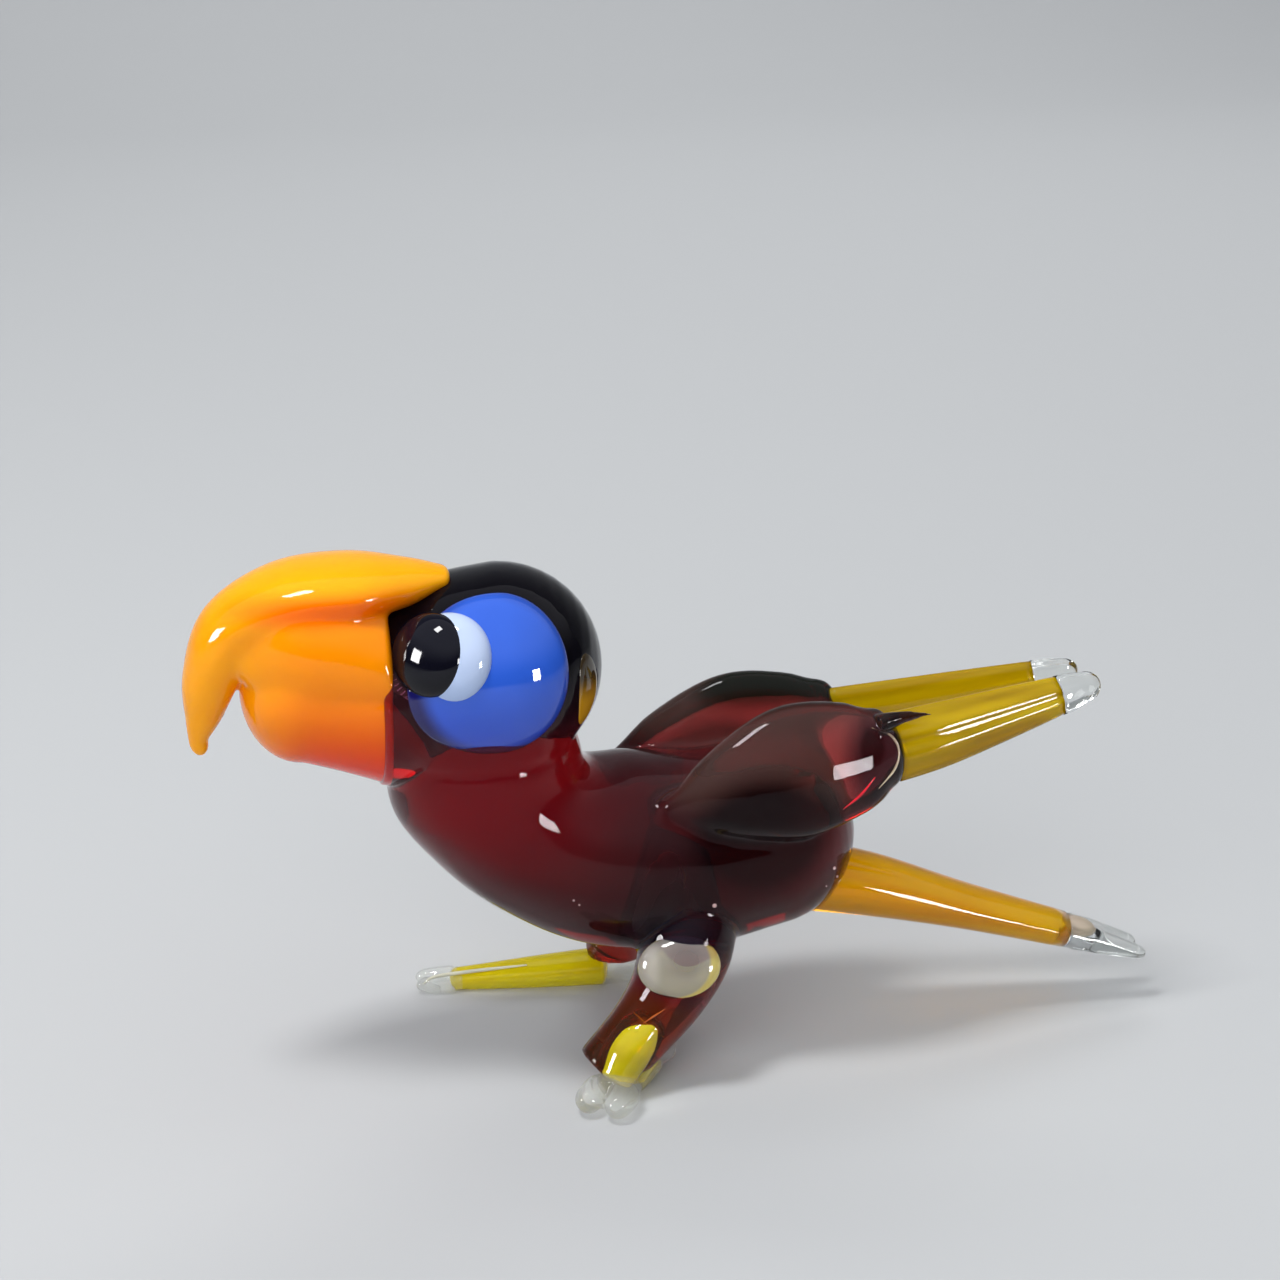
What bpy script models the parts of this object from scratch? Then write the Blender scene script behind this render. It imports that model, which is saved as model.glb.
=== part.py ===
"""Glass parrot figurine, worked in the flame from coloured glass rods.

Run it with blender --background --python part.py, or from Blender's text editor.
The bird faces -X, +Z is up, and it stands on the plane Z = 0 on its two feet.
The origin lies on that plane, under the middle of the bird's outer box.
Every size below is in millimetres, and MM turns it into metres.
"""

import math

import bmesh
import bpy
import numpy as np
from mathutils import Matrix, Vector

MM = 0.001

# Two gathers of glass that are fused on the real bird keep this much air here.
SEAT_GAP = 0.3

# Head: a ball of ruby glass, drawn forward over the brow into the flat face that
# carries the beak. A step is how much smaller than the ball the section is there.
HEAD_X = -10.1
HEAD_Z = 22.1
HEAD_RADIUS = 5.35
BROW_X = -13.05
BROW_DROP = 0.27
BROW_STEP = 0.19
FACE_X = -16.0
FACE_DROP = 1.35
FACE_STEP = 0.9

# Body: sections from the neck to the rump, as x, z, half height, half width, angle.
# The angle is that of the line from belly to back, so a section lies flat at 0
# under the head and stands upright at 90 in the middle of the body.
BODY_SECTIONS = (
    (-10.80, 19.40, 4.20, 4.60, 2),
    (-10.95, 17.70, 4.95, 5.20, 5),
    (-10.70, 15.75, 5.15, 5.25, 13),
    (-9.35, 14.05, 4.90, 5.30, 28),
    (-7.40, 12.70, 4.90, 5.35, 49),
    (-4.10, 11.50, 5.25, 5.40, 74),
    (0.50, 11.10, 5.20, 5.20, 90),
    (3.90, 11.60, 5.00, 5.00, 98),
)
RUMP_LENGTH = 5.0

# Lower beak: an orange ball pressed on the face, as reach from the face, rise above its
# middle and how much smaller the section is than the face. The ball is squashed
# sideways to this share.
LOWER_BEAK_SECTIONS = (
    (0.0, 0.00, 0.00),
    (2.0, 0.50, 0.35),
    (4.0, 0.80, 0.70),
)
LOWER_BEAK_NOSE = 3.0
LOWER_BEAK_SQUASH = 0.96

# Upper beak: a hooded horn from the forehead round to the hook, as reach from the
# face, rise above the top of the face, half thickness, half width and angle.
UPPER_BEAK_SECTIONS = (
    (-3.40, 1.85, 0.55, 1.20, 72),
    (-1.60, 1.70, 1.15, 2.20, 84),
    (1.20, 1.70, 1.55, 3.40, 92),
    (4.50, 1.40, 1.60, 3.20, 113),
    (7.20, -0.20, 1.70, 2.50, 143),
    (8.35, -2.70, 1.45, 1.80, 170),
    (8.80, -4.80, 0.95, 1.10, 184),
    (9.15, -6.05, 0.50, 0.55, 190),
)
BROW_TIP = 0.4
HOOK_TIP = 0.8

# Eyes: three domes on each side of the head, each pressed on the one before it.
# A direction is the turn forward from straight sideways, then the lift above level,
# in degrees. A rise is how far the top of a dome stands out of what lies beneath it.
PATCH_DIRECTION = (16, 15)
PATCH_RADIUS = 4.3
PATCH_RISE = 0.65
WHITE_DIRECTION = (36, 22)
WHITE_RADIUS = 2.4
WHITE_RISE = 0.75
PUPIL_DIRECTION = (45, 21)
PUPIL_RADIUS = 2.15
PUPIL_RISE = 0.5
# The right eye was pressed on this many degrees lower, as the left view of the bird
# shows nothing of it above the head.
EYE_LOWERED = {"left": 0, "right": 12}

# Wings: a leaf of ruby glass on each flank, leaning in at the top, as x, distance
# from the middle, z, half height and half thickness.
WING_SECTIONS = (
    (-1.8, 4.0, 15.1, 0.70, 0.50),
    (0.8, 4.1, 15.7, 2.30, 1.30),
    (4.4, 4.0, 16.5, 3.50, 1.60),
    (7.8, 3.6, 16.9, 3.00, 1.50),
    (9.4, 3.3, 17.2, 2.20, 1.30),
)
WING_LEAN = 17
WING_FRONT_DOME = 0.6
WING_REAR_DOME = 1.2
# The right wing was pressed on a little further forward and lower than the left one,
# and this share of that shift is left at the end of its feathers.
WING_SHIFT = {"left": (0.0, 0.0), "right": (-1.4, -0.4)}
FEATHER_END_SHIFT = 0.25

# Flight feathers: a yellow blade drawn out of each wing, grooved along its length.
FEATHER_SECTIONS = (
    (8.8, 3.2, 16.9, 1.90, 0.80),
    (12.6, 2.7, 17.4, 1.75, 0.80),
    (16.5, 2.1, 18.1, 1.40, 0.75),
    (19.7, 1.6, 18.7, 1.05, 0.65),
)
FEATHER_GROOVES = 3
FEATHER_GROOVE_DEPTH = 0.12
# A clear end carries its limb on: rows of place along it, width and height, as shares
# of its length and of the limb's last section.
FEATHER_TIP_SHARES = ((0, 1.05, 1.02), (0.5, 1.0, 0.96), (1, 0.8, 0.8))
FEATHER_TIP_LENGTH = 1.2
FEATHER_TIP_DOME = 1.0

# Tail: an amber limb, as x, z, half height, half width and angle, and a clear end
# that was cut into a fork while it was hot.
TAIL_SECTIONS = (
    (6.5, 8.9, 1.90, 2.20, 75),
    (10.4, 7.9, 1.65, 2.10, 73),
    (15.5, 6.2, 1.20, 1.80, 71),
    (21.1, 4.3, 0.95, 1.40, 70),
)
TAIL_TIP_SHARES = ((0, 1.0, 0.98), (0.5, 1.02, 0.75), (1, 0.95, 0.45))
TAIL_TIP_LENGTH = 3.7
TAIL_TIP_DOME = 1.0
FORK_DEPTH = 3.2
FORK_WIDTH = 1.5

# Legs: ruby limbs from the belly to the ankle, as x, distance from the middle, z
# and radius. The right foot is set further forward and out than the left one.
LEG_SECTIONS = {
    "left": (
        (-0.6, 2.6, 8.6, 2.70),
        (-1.1, 3.7, 6.7, 2.50),
        (-2.1, 4.4, 4.9, 2.10),
        (-3.6, 4.8, 3.1, 1.80),
        (-5.7, 5.1, 1.0, 1.65),
    ),
    "right": (
        (-0.6, 2.6, 8.6, 2.70),
        (-1.0, 4.2, 6.8, 2.50),
        (-1.6, 5.7, 5.0, 2.10),
        (-2.2, 6.8, 3.4, 1.75),
        (-2.8, 7.6, 1.6, 1.50),
    ),
}
ANKLE_HEIGHT = {"left": 1.3, "right": 1.8}

# Knees: a clear lens set in the outer face of each leg, its long radius lying level,
# at this place in the rows above, facing this way and standing this far out.
KNEE_RADII = (2.2, 1.55, 0.9)
KNEE_SECTION = 1.35
KNEE_WAY = (-0.25, 0.90, 0.35)
KNEE_RISE = 0.3

# Feet: a yellow tongue from heel to toes with clear toes in front and a clear spur
# behind, as the end of the spur, the heel and the front of the tongue, each in x and
# distance from the middle.
FOOT_POINTS = {
    "left": ((-2.0, 3.0), (-3.4, 3.8), (-5.4, 6.8)),
    "right": ((-1.2, 7.5), (-3.4, 7.7), (-11.3, 8.4)),
}
FOOT_HEIGHT = 0.85
FOOT_HALF_WIDTH = 1.25
FOOT_HALF_HEIGHT = 1.05
FOOT_TAPER = 0.9
TOE_SHARES = ((0, 1.1, 1.05), (1, 1.1, 0.8))
TOE_LENGTH = 1.2
TOE_DOME = 1.0
TOE_SPLIT_DEPTH = 1.5
TOE_SPLIT_WIDTH = 0.7
SPUR_RADIUS = {"left": 0.85, "right": 1.15}
SPUR_TAPER = 0.8
SPUR_DOME = 0.7

# Fineness of the round forms.
SIDES = 24
UPPER_BEAK_SIDES = 22
LIMB_SIDES = 18
FEATHER_SIDES = 32
STEPS = 3
DOME_RINGS = 4
DOME_SEGMENTS = 24
DOME_ROWS = 12
HALVINGS = 30
SHARP_EDGE = 50

# The helper shapes reach this far, past every limb and past the whole bird.
SPLIT_REACH = 4
REACH = 40

SIDE_SIGN = {"left": -1, "right": 1}

RUBY = (0.30, 0.015, 0.035)
BEAK_ORANGE = (1.00, 0.30, 0.01)
BEAK_YELLOW = (1.00, 0.47, 0.01)
PATCH_BLUE = (0.05, 0.13, 0.75)
EYE_WHITE = (0.75, 0.84, 0.95)
PUPIL_BLACK = (0.008, 0.006, 0.012)
YELLOW = (0.75, 0.60, 0.02)
AMBER = (0.85, 0.40, 0.01)
CLEAR = (0.92, 0.94, 0.93)


def glass(name, colour, roughness=0.04, transmission=0.9):
    """Material of one rod of glass. Opaque glass has no transmission."""
    material = bpy.data.materials.new(name)
    material.use_nodes = True
    shader = material.node_tree.nodes["Principled BSDF"]
    shader.inputs["Base Color"].default_value = (*colour, 1.0)
    shader.inputs["Roughness"].default_value = roughness
    shader.inputs["Metallic"].default_value = 0.0
    shader.inputs["Transmission Weight"].default_value = transmission
    return material


def clear_scene():
    for thing in list(bpy.data.objects):
        bpy.data.objects.remove(thing, do_unlink=True)


def through(rows):
    """Rows on a smooth curve that passes through the given rows."""
    rows = np.array(rows, float)
    first = 2 * rows[0] - rows[1]
    last = 2 * rows[-1] - rows[-2]
    knots = np.vstack([first, rows, last])
    found = []
    for start in range(len(rows) - 1):
        before, here, ahead, after = knots[start : start + 4]
        for step in range(STEPS):
            t = step / STEPS
            curve = (
                2 * here
                + (ahead - before) * t
                + (2 * before - 5 * here + 4 * ahead - after) * t**2
                + (3 * here - before - 3 * ahead + after) * t**3
            )
            found.append(curve / 2)
    found.append(rows[-1])
    return np.array(found)


def upright_rings(sections):
    """Rings across the middle plane, from rows of x, z, half height, half width, angle."""
    rings = []
    for x, z, half_height, half_width, angle in through(sections):
        turn = math.radians(angle)
        rise = np.array([math.cos(turn), 0, math.sin(turn)]) * half_height
        rings.append((np.array([x, 0, z]), np.array([0, half_width, 0]), rise))
    return rings


def limb_rings(sections, lean=0.0):
    """Rings square to a line in space, from rows of x, y, z, half height, half width.

    lean tilts the rings' height towards the middle plane, in degrees.
    """
    rows = through(sections)
    ways = np.gradient(rows[:, :3], axis=0)
    rings = []
    for row, way in zip(rows, ways):
        way = way / np.linalg.norm(way)
        inward = -math.copysign(math.tan(math.radians(lean)), row[1])
        rise = np.array([0.0, inward, 1.0])
        rise -= way * (rise @ way)
        rise /= np.linalg.norm(rise)
        across = np.cross(rise, way)
        rings.append((row[:3], across * row[4], rise * row[3]))
    return rings


def grown(rings, extra):
    """The same rings with this much more radius."""
    wider = []
    for centre, across, rise in rings:
        across = across * (1 + extra / np.linalg.norm(across))
        rise = rise * (1 + extra / np.linalg.norm(rise))
        wider.append((centre, across, rise))
    return wider


def with_domes(rings, start_dome, end_dome):
    """Adds closing rings, so that a dome of the given length ends the loft."""
    whole = list(rings)
    for dome, end, inner in ((start_dome, 0, 1), (end_dome, -1, -2)):
        centre, across, rise = rings[end]
        out = np.cross(across, rise)
        out *= np.sign(out @ (centre - rings[inner][0])) / np.linalg.norm(out)
        closing = []
        for step in range(1, DOME_RINGS):
            turn = math.pi / 2 * step / DOME_RINGS
            shrink = math.cos(turn)
            place = centre + out * dome * math.sin(turn)
            closing.append((place, across * shrink, rise * shrink))
        if dome == 0:
            closing = []
        pole = centre + out * dome
        if end == 0:
            whole = closing[::-1] + whole
            first_pole = pole
        else:
            whole = whole + closing
            last_pole = pole
    return first_pole, whole, last_pole


def loft(name, rings, start_dome=0.0, end_dome=0.0, grow=0.0, sides=SIDES, groove=None):
    """Mesh of a closed skin over rings. groove changes a ring's width by its height."""
    if grow:
        rings = grown(rings, grow)
        start_dome = start_dome + grow
        end_dome = end_dome + grow
    first_pole, rings, last_pole = with_domes(rings, start_dome, end_dome)
    turns = [2 * math.pi * side / sides for side in range(sides)]
    shape = bmesh.new()
    loops = []
    for centre, across, rise in rings:
        loop = []
        for turn in turns:
            width = math.cos(turn)
            height = math.sin(turn)
            if groove:
                width *= groove(height)
            place = centre + across * width + rise * height
            loop.append(shape.verts.new(Vector(place) * MM))
        loops.append(loop)
    for lower, upper in zip(loops, loops[1:]):
        for side in range(sides):
            after = (side + 1) % sides
            shape.faces.new((lower[side], lower[after], upper[after], upper[side]))
    for pole, loop in ((first_pole, loops[0][::-1]), (last_pole, loops[-1])):
        tip = shape.verts.new(Vector(pole) * MM)
        for side in range(sides):
            shape.faces.new((loop[side], loop[(side + 1) % sides], tip))
    bmesh.ops.recalc_face_normals(shape, faces=shape.faces)
    mesh = bpy.data.meshes.new(name)
    shape.to_mesh(mesh)
    shape.free()
    return mesh


def ellipsoid(name, radii, centre, pole, level):
    """Mesh of an ellipsoid. Its third radius lies along pole, and its first along level."""
    pole = Vector(pole).normalized()
    level = Vector(level)
    level = (level - pole * level.dot(pole)).normalized()
    turn = Matrix((level, pole.cross(level), pole)).transposed()
    shape = bmesh.new()
    bmesh.ops.create_uvsphere(
        shape, u_segments=DOME_SEGMENTS, v_segments=DOME_ROWS, radius=1
    )
    bmesh.ops.scale(shape, verts=shape.verts, vec=Vector(radii) * MM)
    bmesh.ops.rotate(shape, verts=shape.verts, matrix=turn)
    bmesh.ops.translate(shape, verts=shape.verts, vec=Vector(centre) * MM)
    mesh = bpy.data.meshes.new(name)
    shape.to_mesh(mesh)
    shape.free()
    return mesh


def box(name, low, high):
    """Mesh of a box between two corners."""
    shape = bmesh.new()
    bmesh.ops.create_cube(shape, size=1)
    size = Vector(high) - Vector(low)
    bmesh.ops.scale(shape, verts=shape.verts, vec=size * MM)
    bmesh.ops.translate(shape, verts=shape.verts, vec=(Vector(high) + Vector(low)) / 2 * MM)
    mesh = bpy.data.meshes.new(name)
    shape.to_mesh(mesh)
    shape.free()
    return mesh


def below(name, axis, level):
    """Mesh of a box that fills all space under a level on one axis."""
    high = [REACH] * 3
    high[axis] = level
    return box(name, [-REACH] * 3, high)


def wedge(name, root, out, width, depth):
    """Mesh of a V cut: its edge stands at root, and it opens along out."""
    out = Vector(out).normalized()
    across = Vector((0, 0, 1)).cross(out).normalized()
    shape = bmesh.new()
    corners = []
    for level in (-SPLIT_REACH, SPLIT_REACH):
        for side in (-1, 0, 1):
            place = Vector(root) + Vector((0, 0, level))
            if side:
                place += out * depth * 2 + across * side * width
            corners.append(shape.verts.new(place * MM))
    left, edge, right, left_top, edge_top, right_top = corners
    shape.faces.new((left, edge, right))
    shape.faces.new((left_top, right_top, edge_top))
    shape.faces.new((left, left_top, edge_top, edge))
    shape.faces.new((edge, edge_top, right_top, right))
    shape.faces.new((right, right_top, left_top, left))
    bmesh.ops.recalc_face_normals(shape, faces=shape.faces)
    mesh = bpy.data.meshes.new(name)
    shape.to_mesh(mesh)
    shape.free()
    return mesh


def piece(name, mesh, material):
    """A named piece of the bird, shaded smooth but for the edges of its seats."""
    mesh.shade_smooth()
    mesh.set_sharp_from_angle(angle=math.radians(SHARP_EDGE))
    mesh.materials.append(material)
    thing = bpy.data.objects.new(name, mesh)
    bpy.context.collection.objects.link(thing)
    return thing


def cutter(name, mesh):
    """A helper that stays out of the bird and only shapes its pieces."""
    thing = bpy.data.objects.new(name, mesh)
    thing.hide_render = True
    thing.display_type = "WIRE"
    bpy.context.collection.objects.link(thing)
    return thing


def cut(thing, *cutters):
    for tool in cutters:
        modifier = thing.modifiers.new(tool.name, "BOOLEAN")
        modifier.operation = "DIFFERENCE"
        modifier.object = tool


def carried_on(rings, shares, length):
    """Rings that carry a limb on past its end, and the way they run."""
    end, across, rise = rings[-1]
    way = end - rings[-2][0]
    way /= np.linalg.norm(way)
    near = end + way * SEAT_GAP
    further = [
        (near + way * length * place, across * width, rise * height)
        for place, width, height in shares
    ]
    return further, way


def split(thing, tip, way, width, depth):
    """Cuts a V into the end of a piece, as shears do in hot glass."""
    name = f"{thing.name}_split"
    cut(thing, cutter(name, wedge(name, tip - way * depth, way, width, depth)))


def head_sections():
    """Sections of the head from the face to the middle of the ball."""
    places = (
        (FACE_X, FACE_DROP, HEAD_RADIUS - FACE_STEP),
        (BROW_X, BROW_DROP, HEAD_RADIUS - BROW_STEP),
        (HEAD_X, 0.0, HEAD_RADIUS),
    )
    return [(x, HEAD_Z - drop, radius, radius, 90) for x, drop, radius in places]


def head_reach(way):
    """Distance from the middle of the ball to the head's skin, for a way forward."""
    x, z, radius, _, _ = through(head_sections()).T
    low = 0.0
    high = HEAD_X - FACE_X + HEAD_RADIUS
    for _ in range(HALVINGS):
        reach = (low + high) / 2
        place = Vector((HEAD_X, 0, HEAD_Z)) + way * reach
        rise = place.z - np.interp(place.x, x, z)
        if math.hypot(place.y, rise) < np.interp(place.x, x, radius, left=0.0):
            low = reach
        else:
            high = reach
    return low


def make_head(ruby):
    rings = upright_rings(head_sections())
    head = piece("head", loft("head", rings, end_dome=HEAD_RADIUS), ruby)
    seat = cutter(
        "head_seat", loft("head_seat", rings, end_dome=HEAD_RADIUS, grow=SEAT_GAP)
    )
    return head, seat


def make_body(ruby, head_seat):
    rings = upright_rings(BODY_SECTIONS)
    body = piece("body", loft("body", rings, end_dome=RUMP_LENGTH), ruby)
    seat = cutter(
        "body_seat", loft("body_seat", rings, end_dome=RUMP_LENGTH, grow=SEAT_GAP)
    )
    cut(body, head_seat)
    return body, seat


def make_beak(lower_glass, upper_glass, head_seat):
    base_x = FACE_X - SEAT_GAP
    _, face_z, face_radius, *_ = head_sections()[0]
    sections = []
    for reach, rise, smaller in LOWER_BEAK_SECTIONS:
        height = face_radius - smaller
        width = height * LOWER_BEAK_SQUASH
        sections.append((base_x - reach, face_z + rise, height, width, 90))
    rings = upright_rings(sections)
    lower = piece("lower_beak", loft("lower_beak", rings, end_dome=LOWER_BEAK_NOSE), lower_glass)
    seat = cutter(
        "lower_beak_seat",
        loft("lower_beak_seat", rings, end_dome=LOWER_BEAK_NOSE, grow=SEAT_GAP),
    )
    rings = upright_rings(
        [
            (base_x - reach, face_z + face_radius + rise, thick, wide, angle)
            for reach, rise, thick, wide, angle in UPPER_BEAK_SECTIONS
        ]
    )
    mesh = loft(
        "upper_beak",
        rings,
        start_dome=BROW_TIP,
        end_dome=HOOK_TIP,
        sides=UPPER_BEAK_SIDES,
    )
    upper = piece("upper_beak", mesh, upper_glass)
    cut(upper, head_seat, seat)
    return lower, upper


def towards(direction, sign):
    """Unit vector for a turn forward and a lift, on the left or right of the head."""
    forward, lift = (math.radians(angle) for angle in direction)
    level = math.cos(lift)
    return Vector((-math.sin(forward) * level, sign * math.cos(forward) * level, math.sin(lift)))


def dome_reach(way, dome):
    """Distance from the middle of the ball to the skin of a dome, along a way."""
    axis, inset, radius, height = dome
    level = way.dot(axis)
    square = (level / height) ** 2 + (1 - level**2) / radius**2
    slope = level * inset / height**2
    under_root = slope**2 - square * ((inset / height) ** 2 - 1)
    if under_root < 0:
        return 0.0
    return (slope + math.sqrt(under_root)) / square


def dome_mesh(name, dome, grow=0.0):
    """Ellipsoid of a dome on the head, grown where it is a seat."""
    way, inset, radius, height = dome
    radii = (radius + grow, radius + grow, height + grow)
    centre = Vector((HEAD_X, 0, HEAD_Z)) + way * inset
    return ellipsoid(name, radii, centre, way, (1, 0, 0))


def make_eye(side, glasses, head_seat, face_front):
    kinds = (
        ("eye_patch", PATCH_DIRECTION, PATCH_RADIUS, PATCH_RISE),
        ("eye_white", WHITE_DIRECTION, WHITE_RADIUS, WHITE_RISE),
        ("pupil", PUPIL_DIRECTION, PUPIL_RADIUS, PUPIL_RISE),
    )
    domes = []
    seats = []
    for (kind, direction, radius, rise), material in zip(kinds, glasses):
        forward, lift = direction
        way = towards((forward, lift - EYE_LOWERED[side]), SIDE_SIGN[side])
        skin = head_reach(way)
        beneath = max([skin] + [dome_reach(way, dome) for dome in domes])
        rim = (skin + beneath) / 2
        inset = math.sqrt(rim**2 - radius**2)
        domes.append((way, inset, radius, beneath + rise - inset))
        name = f"{kind}_{side}"
        thing = piece(name, dome_mesh(name, domes[-1]), material)
        cut(thing, head_seat, face_front, *seats)
        seats.append(cutter(f"{name}_seat", dome_mesh(f"{name}_seat", domes[-1], SEAT_GAP)))
    return seats[0]


def sided(sections, side):
    """Rows whose second number turns from a distance into y on one side."""
    sign = SIDE_SIGN[side]
    return [(row[0], sign * row[1], *row[2:]) for row in sections]


def feather_groove(height):
    """Width of a feather blade at a height from -1 to 1, with grooves along it."""
    return 1 - FEATHER_GROOVE_DEPTH * (1 - math.cos(math.pi * FEATHER_GROOVES * (height + 1)))


def make_wing(side, ruby, yellow, clear, body_seat):
    forward, up = WING_SHIFT[side]
    sections = [(x + forward, y, z + up, *more) for x, y, z, *more in WING_SECTIONS]
    rings = limb_rings(sided(sections, side), lean=WING_LEAN)
    domes = (WING_FRONT_DOME, WING_REAR_DOME)
    wing = piece(f"wing_{side}", loft(f"wing_{side}", rings, *domes), ruby)
    cut(wing, body_seat)
    seat = cutter(
        f"wing_{side}_seat", loft(f"wing_{side}_seat", rings, *domes, grow=SEAT_GAP)
    )
    fades = np.linspace(1, FEATHER_END_SHIFT, len(FEATHER_SECTIONS))
    sections = [
        (x + forward * fade, y, z + up * fade, *more)
        for (x, y, z, *more), fade in zip(FEATHER_SECTIONS, fades)
    ]
    rings = limb_rings(sided(sections, side), lean=WING_LEAN)
    mesh = loft(f"feathers_{side}", rings, sides=FEATHER_SIDES, groove=feather_groove)
    feathers = piece(f"feathers_{side}", mesh, yellow)
    cut(feathers, seat)

    rings, _ = carried_on(rings, FEATHER_TIP_SHARES, FEATHER_TIP_LENGTH)
    mesh = loft(f"feather_tip_{side}", rings, end_dome=FEATHER_TIP_DOME)
    piece(f"feather_tip_{side}", mesh, clear)


def make_tail(amber, clear, body_seat):
    rings = upright_rings(TAIL_SECTIONS)
    tail = piece("tail", loft("tail", rings), amber)
    cut(tail, body_seat)

    rings, way = carried_on(rings, TAIL_TIP_SHARES, TAIL_TIP_LENGTH)
    tip = piece("tail_tip", loft("tail_tip", rings, end_dome=TAIL_TIP_DOME), clear)
    split(tip, rings[-1][0] + way * TAIL_TIP_DOME, way, FORK_WIDTH, FORK_DEPTH)


def make_leg(side, ruby, clear, body_seat):
    sections = [(x, y, z, radius, radius) for x, y, z, radius in LEG_SECTIONS[side]]
    sections = sided(sections, side)
    rings = limb_rings(sections)
    leg = piece(f"leg_{side}", loft(f"leg_{side}", rings, sides=LIMB_SIDES), ruby)
    mesh = loft(f"leg_{side}_seat", rings, grow=SEAT_GAP, sides=LIMB_SIDES)
    seat = cutter(f"leg_{side}_seat", mesh)

    sign = SIDE_SIGN[side]
    way = Vector((KNEE_WAY[0], sign * KNEE_WAY[1], KNEE_WAY[2])).normalized()
    before = int(KNEE_SECTION)
    share = KNEE_SECTION - before
    middle = np.array(sections[before]) * (1 - share) + np.array(sections[before + 1]) * share
    centre = Vector(middle[:3]) + way * (middle[3] + KNEE_RISE - KNEE_RADII[2])
    knee = ellipsoid(f"knee_{side}", KNEE_RADII, centre, way, (1, 0, 0))
    piece(f"knee_{side}", knee, clear)
    radii = [radius + SEAT_GAP for radius in KNEE_RADII]
    pocket = ellipsoid(f"knee_{side}_pocket", radii, centre, way, (1, 0, 0))

    ankle = ANKLE_HEIGHT[side]
    level = cutter(f"ankle_{side}", below(f"ankle_{side}", 2, ankle))
    cut(leg, body_seat, cutter(f"knee_{side}_pocket", pocket), level)
    level = cutter(f"ankle_{side}_seat", below(f"ankle_{side}_seat", 2, ankle - SEAT_GAP))
    cut(seat, level)
    return seat


def make_foot(side, yellow, clear, leg_seat, ground):
    sign = SIDE_SIGN[side]
    spur_end, heel, toe = (
        np.array([x, sign * out, FOOT_HEIGHT]) for x, out in FOOT_POINTS[side]
    )
    sections = [
        (*heel, FOOT_HALF_HEIGHT, FOOT_HALF_WIDTH),
        (*((heel + toe) / 2), FOOT_HALF_HEIGHT, FOOT_HALF_WIDTH),
        (*toe, FOOT_HALF_HEIGHT * FOOT_TAPER, FOOT_HALF_WIDTH * FOOT_TAPER),
    ]
    foot_rings = limb_rings(sections)
    foot = piece(f"foot_{side}", loft(f"foot_{side}", foot_rings, sides=LIMB_SIDES), yellow)
    cut(foot, leg_seat, ground)

    rings, way = carried_on(foot_rings, TOE_SHARES, TOE_LENGTH)
    mesh = loft(f"toes_{side}", rings, end_dome=TOE_DOME, sides=LIMB_SIDES)
    toes = piece(f"toes_{side}", mesh, clear)
    split(toes, rings[-1][0] + way * TOE_DOME, way, TOE_SPLIT_WIDTH, TOE_SPLIT_DEPTH)
    cut(toes, ground)

    way = (spur_end - heel) / np.linalg.norm(spur_end - heel)
    near = heel + way * SEAT_GAP
    radius = SPUR_RADIUS[side]
    end_radius = radius * SPUR_TAPER
    sections = [(*near, radius, radius), (*spur_end, end_radius, end_radius)]
    mesh = loft(f"spur_{side}", limb_rings(sections), end_dome=SPUR_DOME, sides=LIMB_SIDES)
    spur = piece(f"spur_{side}", mesh, clear)
    mesh = loft(f"foot_{side}_seat", foot_rings, grow=SEAT_GAP, sides=LIMB_SIDES)
    cut(spur, leg_seat, cutter(f"foot_{side}_seat", mesh), ground)


def main():
    clear_scene()
    ruby = glass("ruby", RUBY)
    yellow = glass("yellow", YELLOW)
    amber = glass("amber", AMBER)
    clear = glass("clear", CLEAR)
    orange = glass("beak_orange", BEAK_ORANGE, roughness=0.1, transmission=0.0)
    sun_yellow = glass("beak_yellow", BEAK_YELLOW, roughness=0.1, transmission=0.0)
    eye_glasses = (
        glass("patch_blue", PATCH_BLUE, roughness=0.08, transmission=0.0),
        glass("eye_white", EYE_WHITE, roughness=0.08, transmission=0.0),
        glass("pupil_black", PUPIL_BLACK, roughness=0.05, transmission=0.0),
    )
    head, head_seat = make_head(ruby)
    body, body_seat = make_body(ruby, head_seat)
    make_beak(orange, sun_yellow, head_seat)
    ground = cutter("ground", below("ground", 2, 0))
    face_front = cutter("face_front", below("face_front", 0, FACE_X))
    for side in SIDE_SIGN:
        patch_seat = make_eye(side, eye_glasses, head_seat, face_front)
        cut(body, patch_seat)
        make_wing(side, ruby, yellow, clear, body_seat)
        leg_seat = make_leg(side, ruby, clear, body_seat)
        make_foot(side, yellow, clear, leg_seat, ground)
    make_tail(amber, clear, body_seat)


main()
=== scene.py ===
import math

import bmesh
import bpy
import numpy as np
from mathutils import Matrix, Vector


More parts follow.
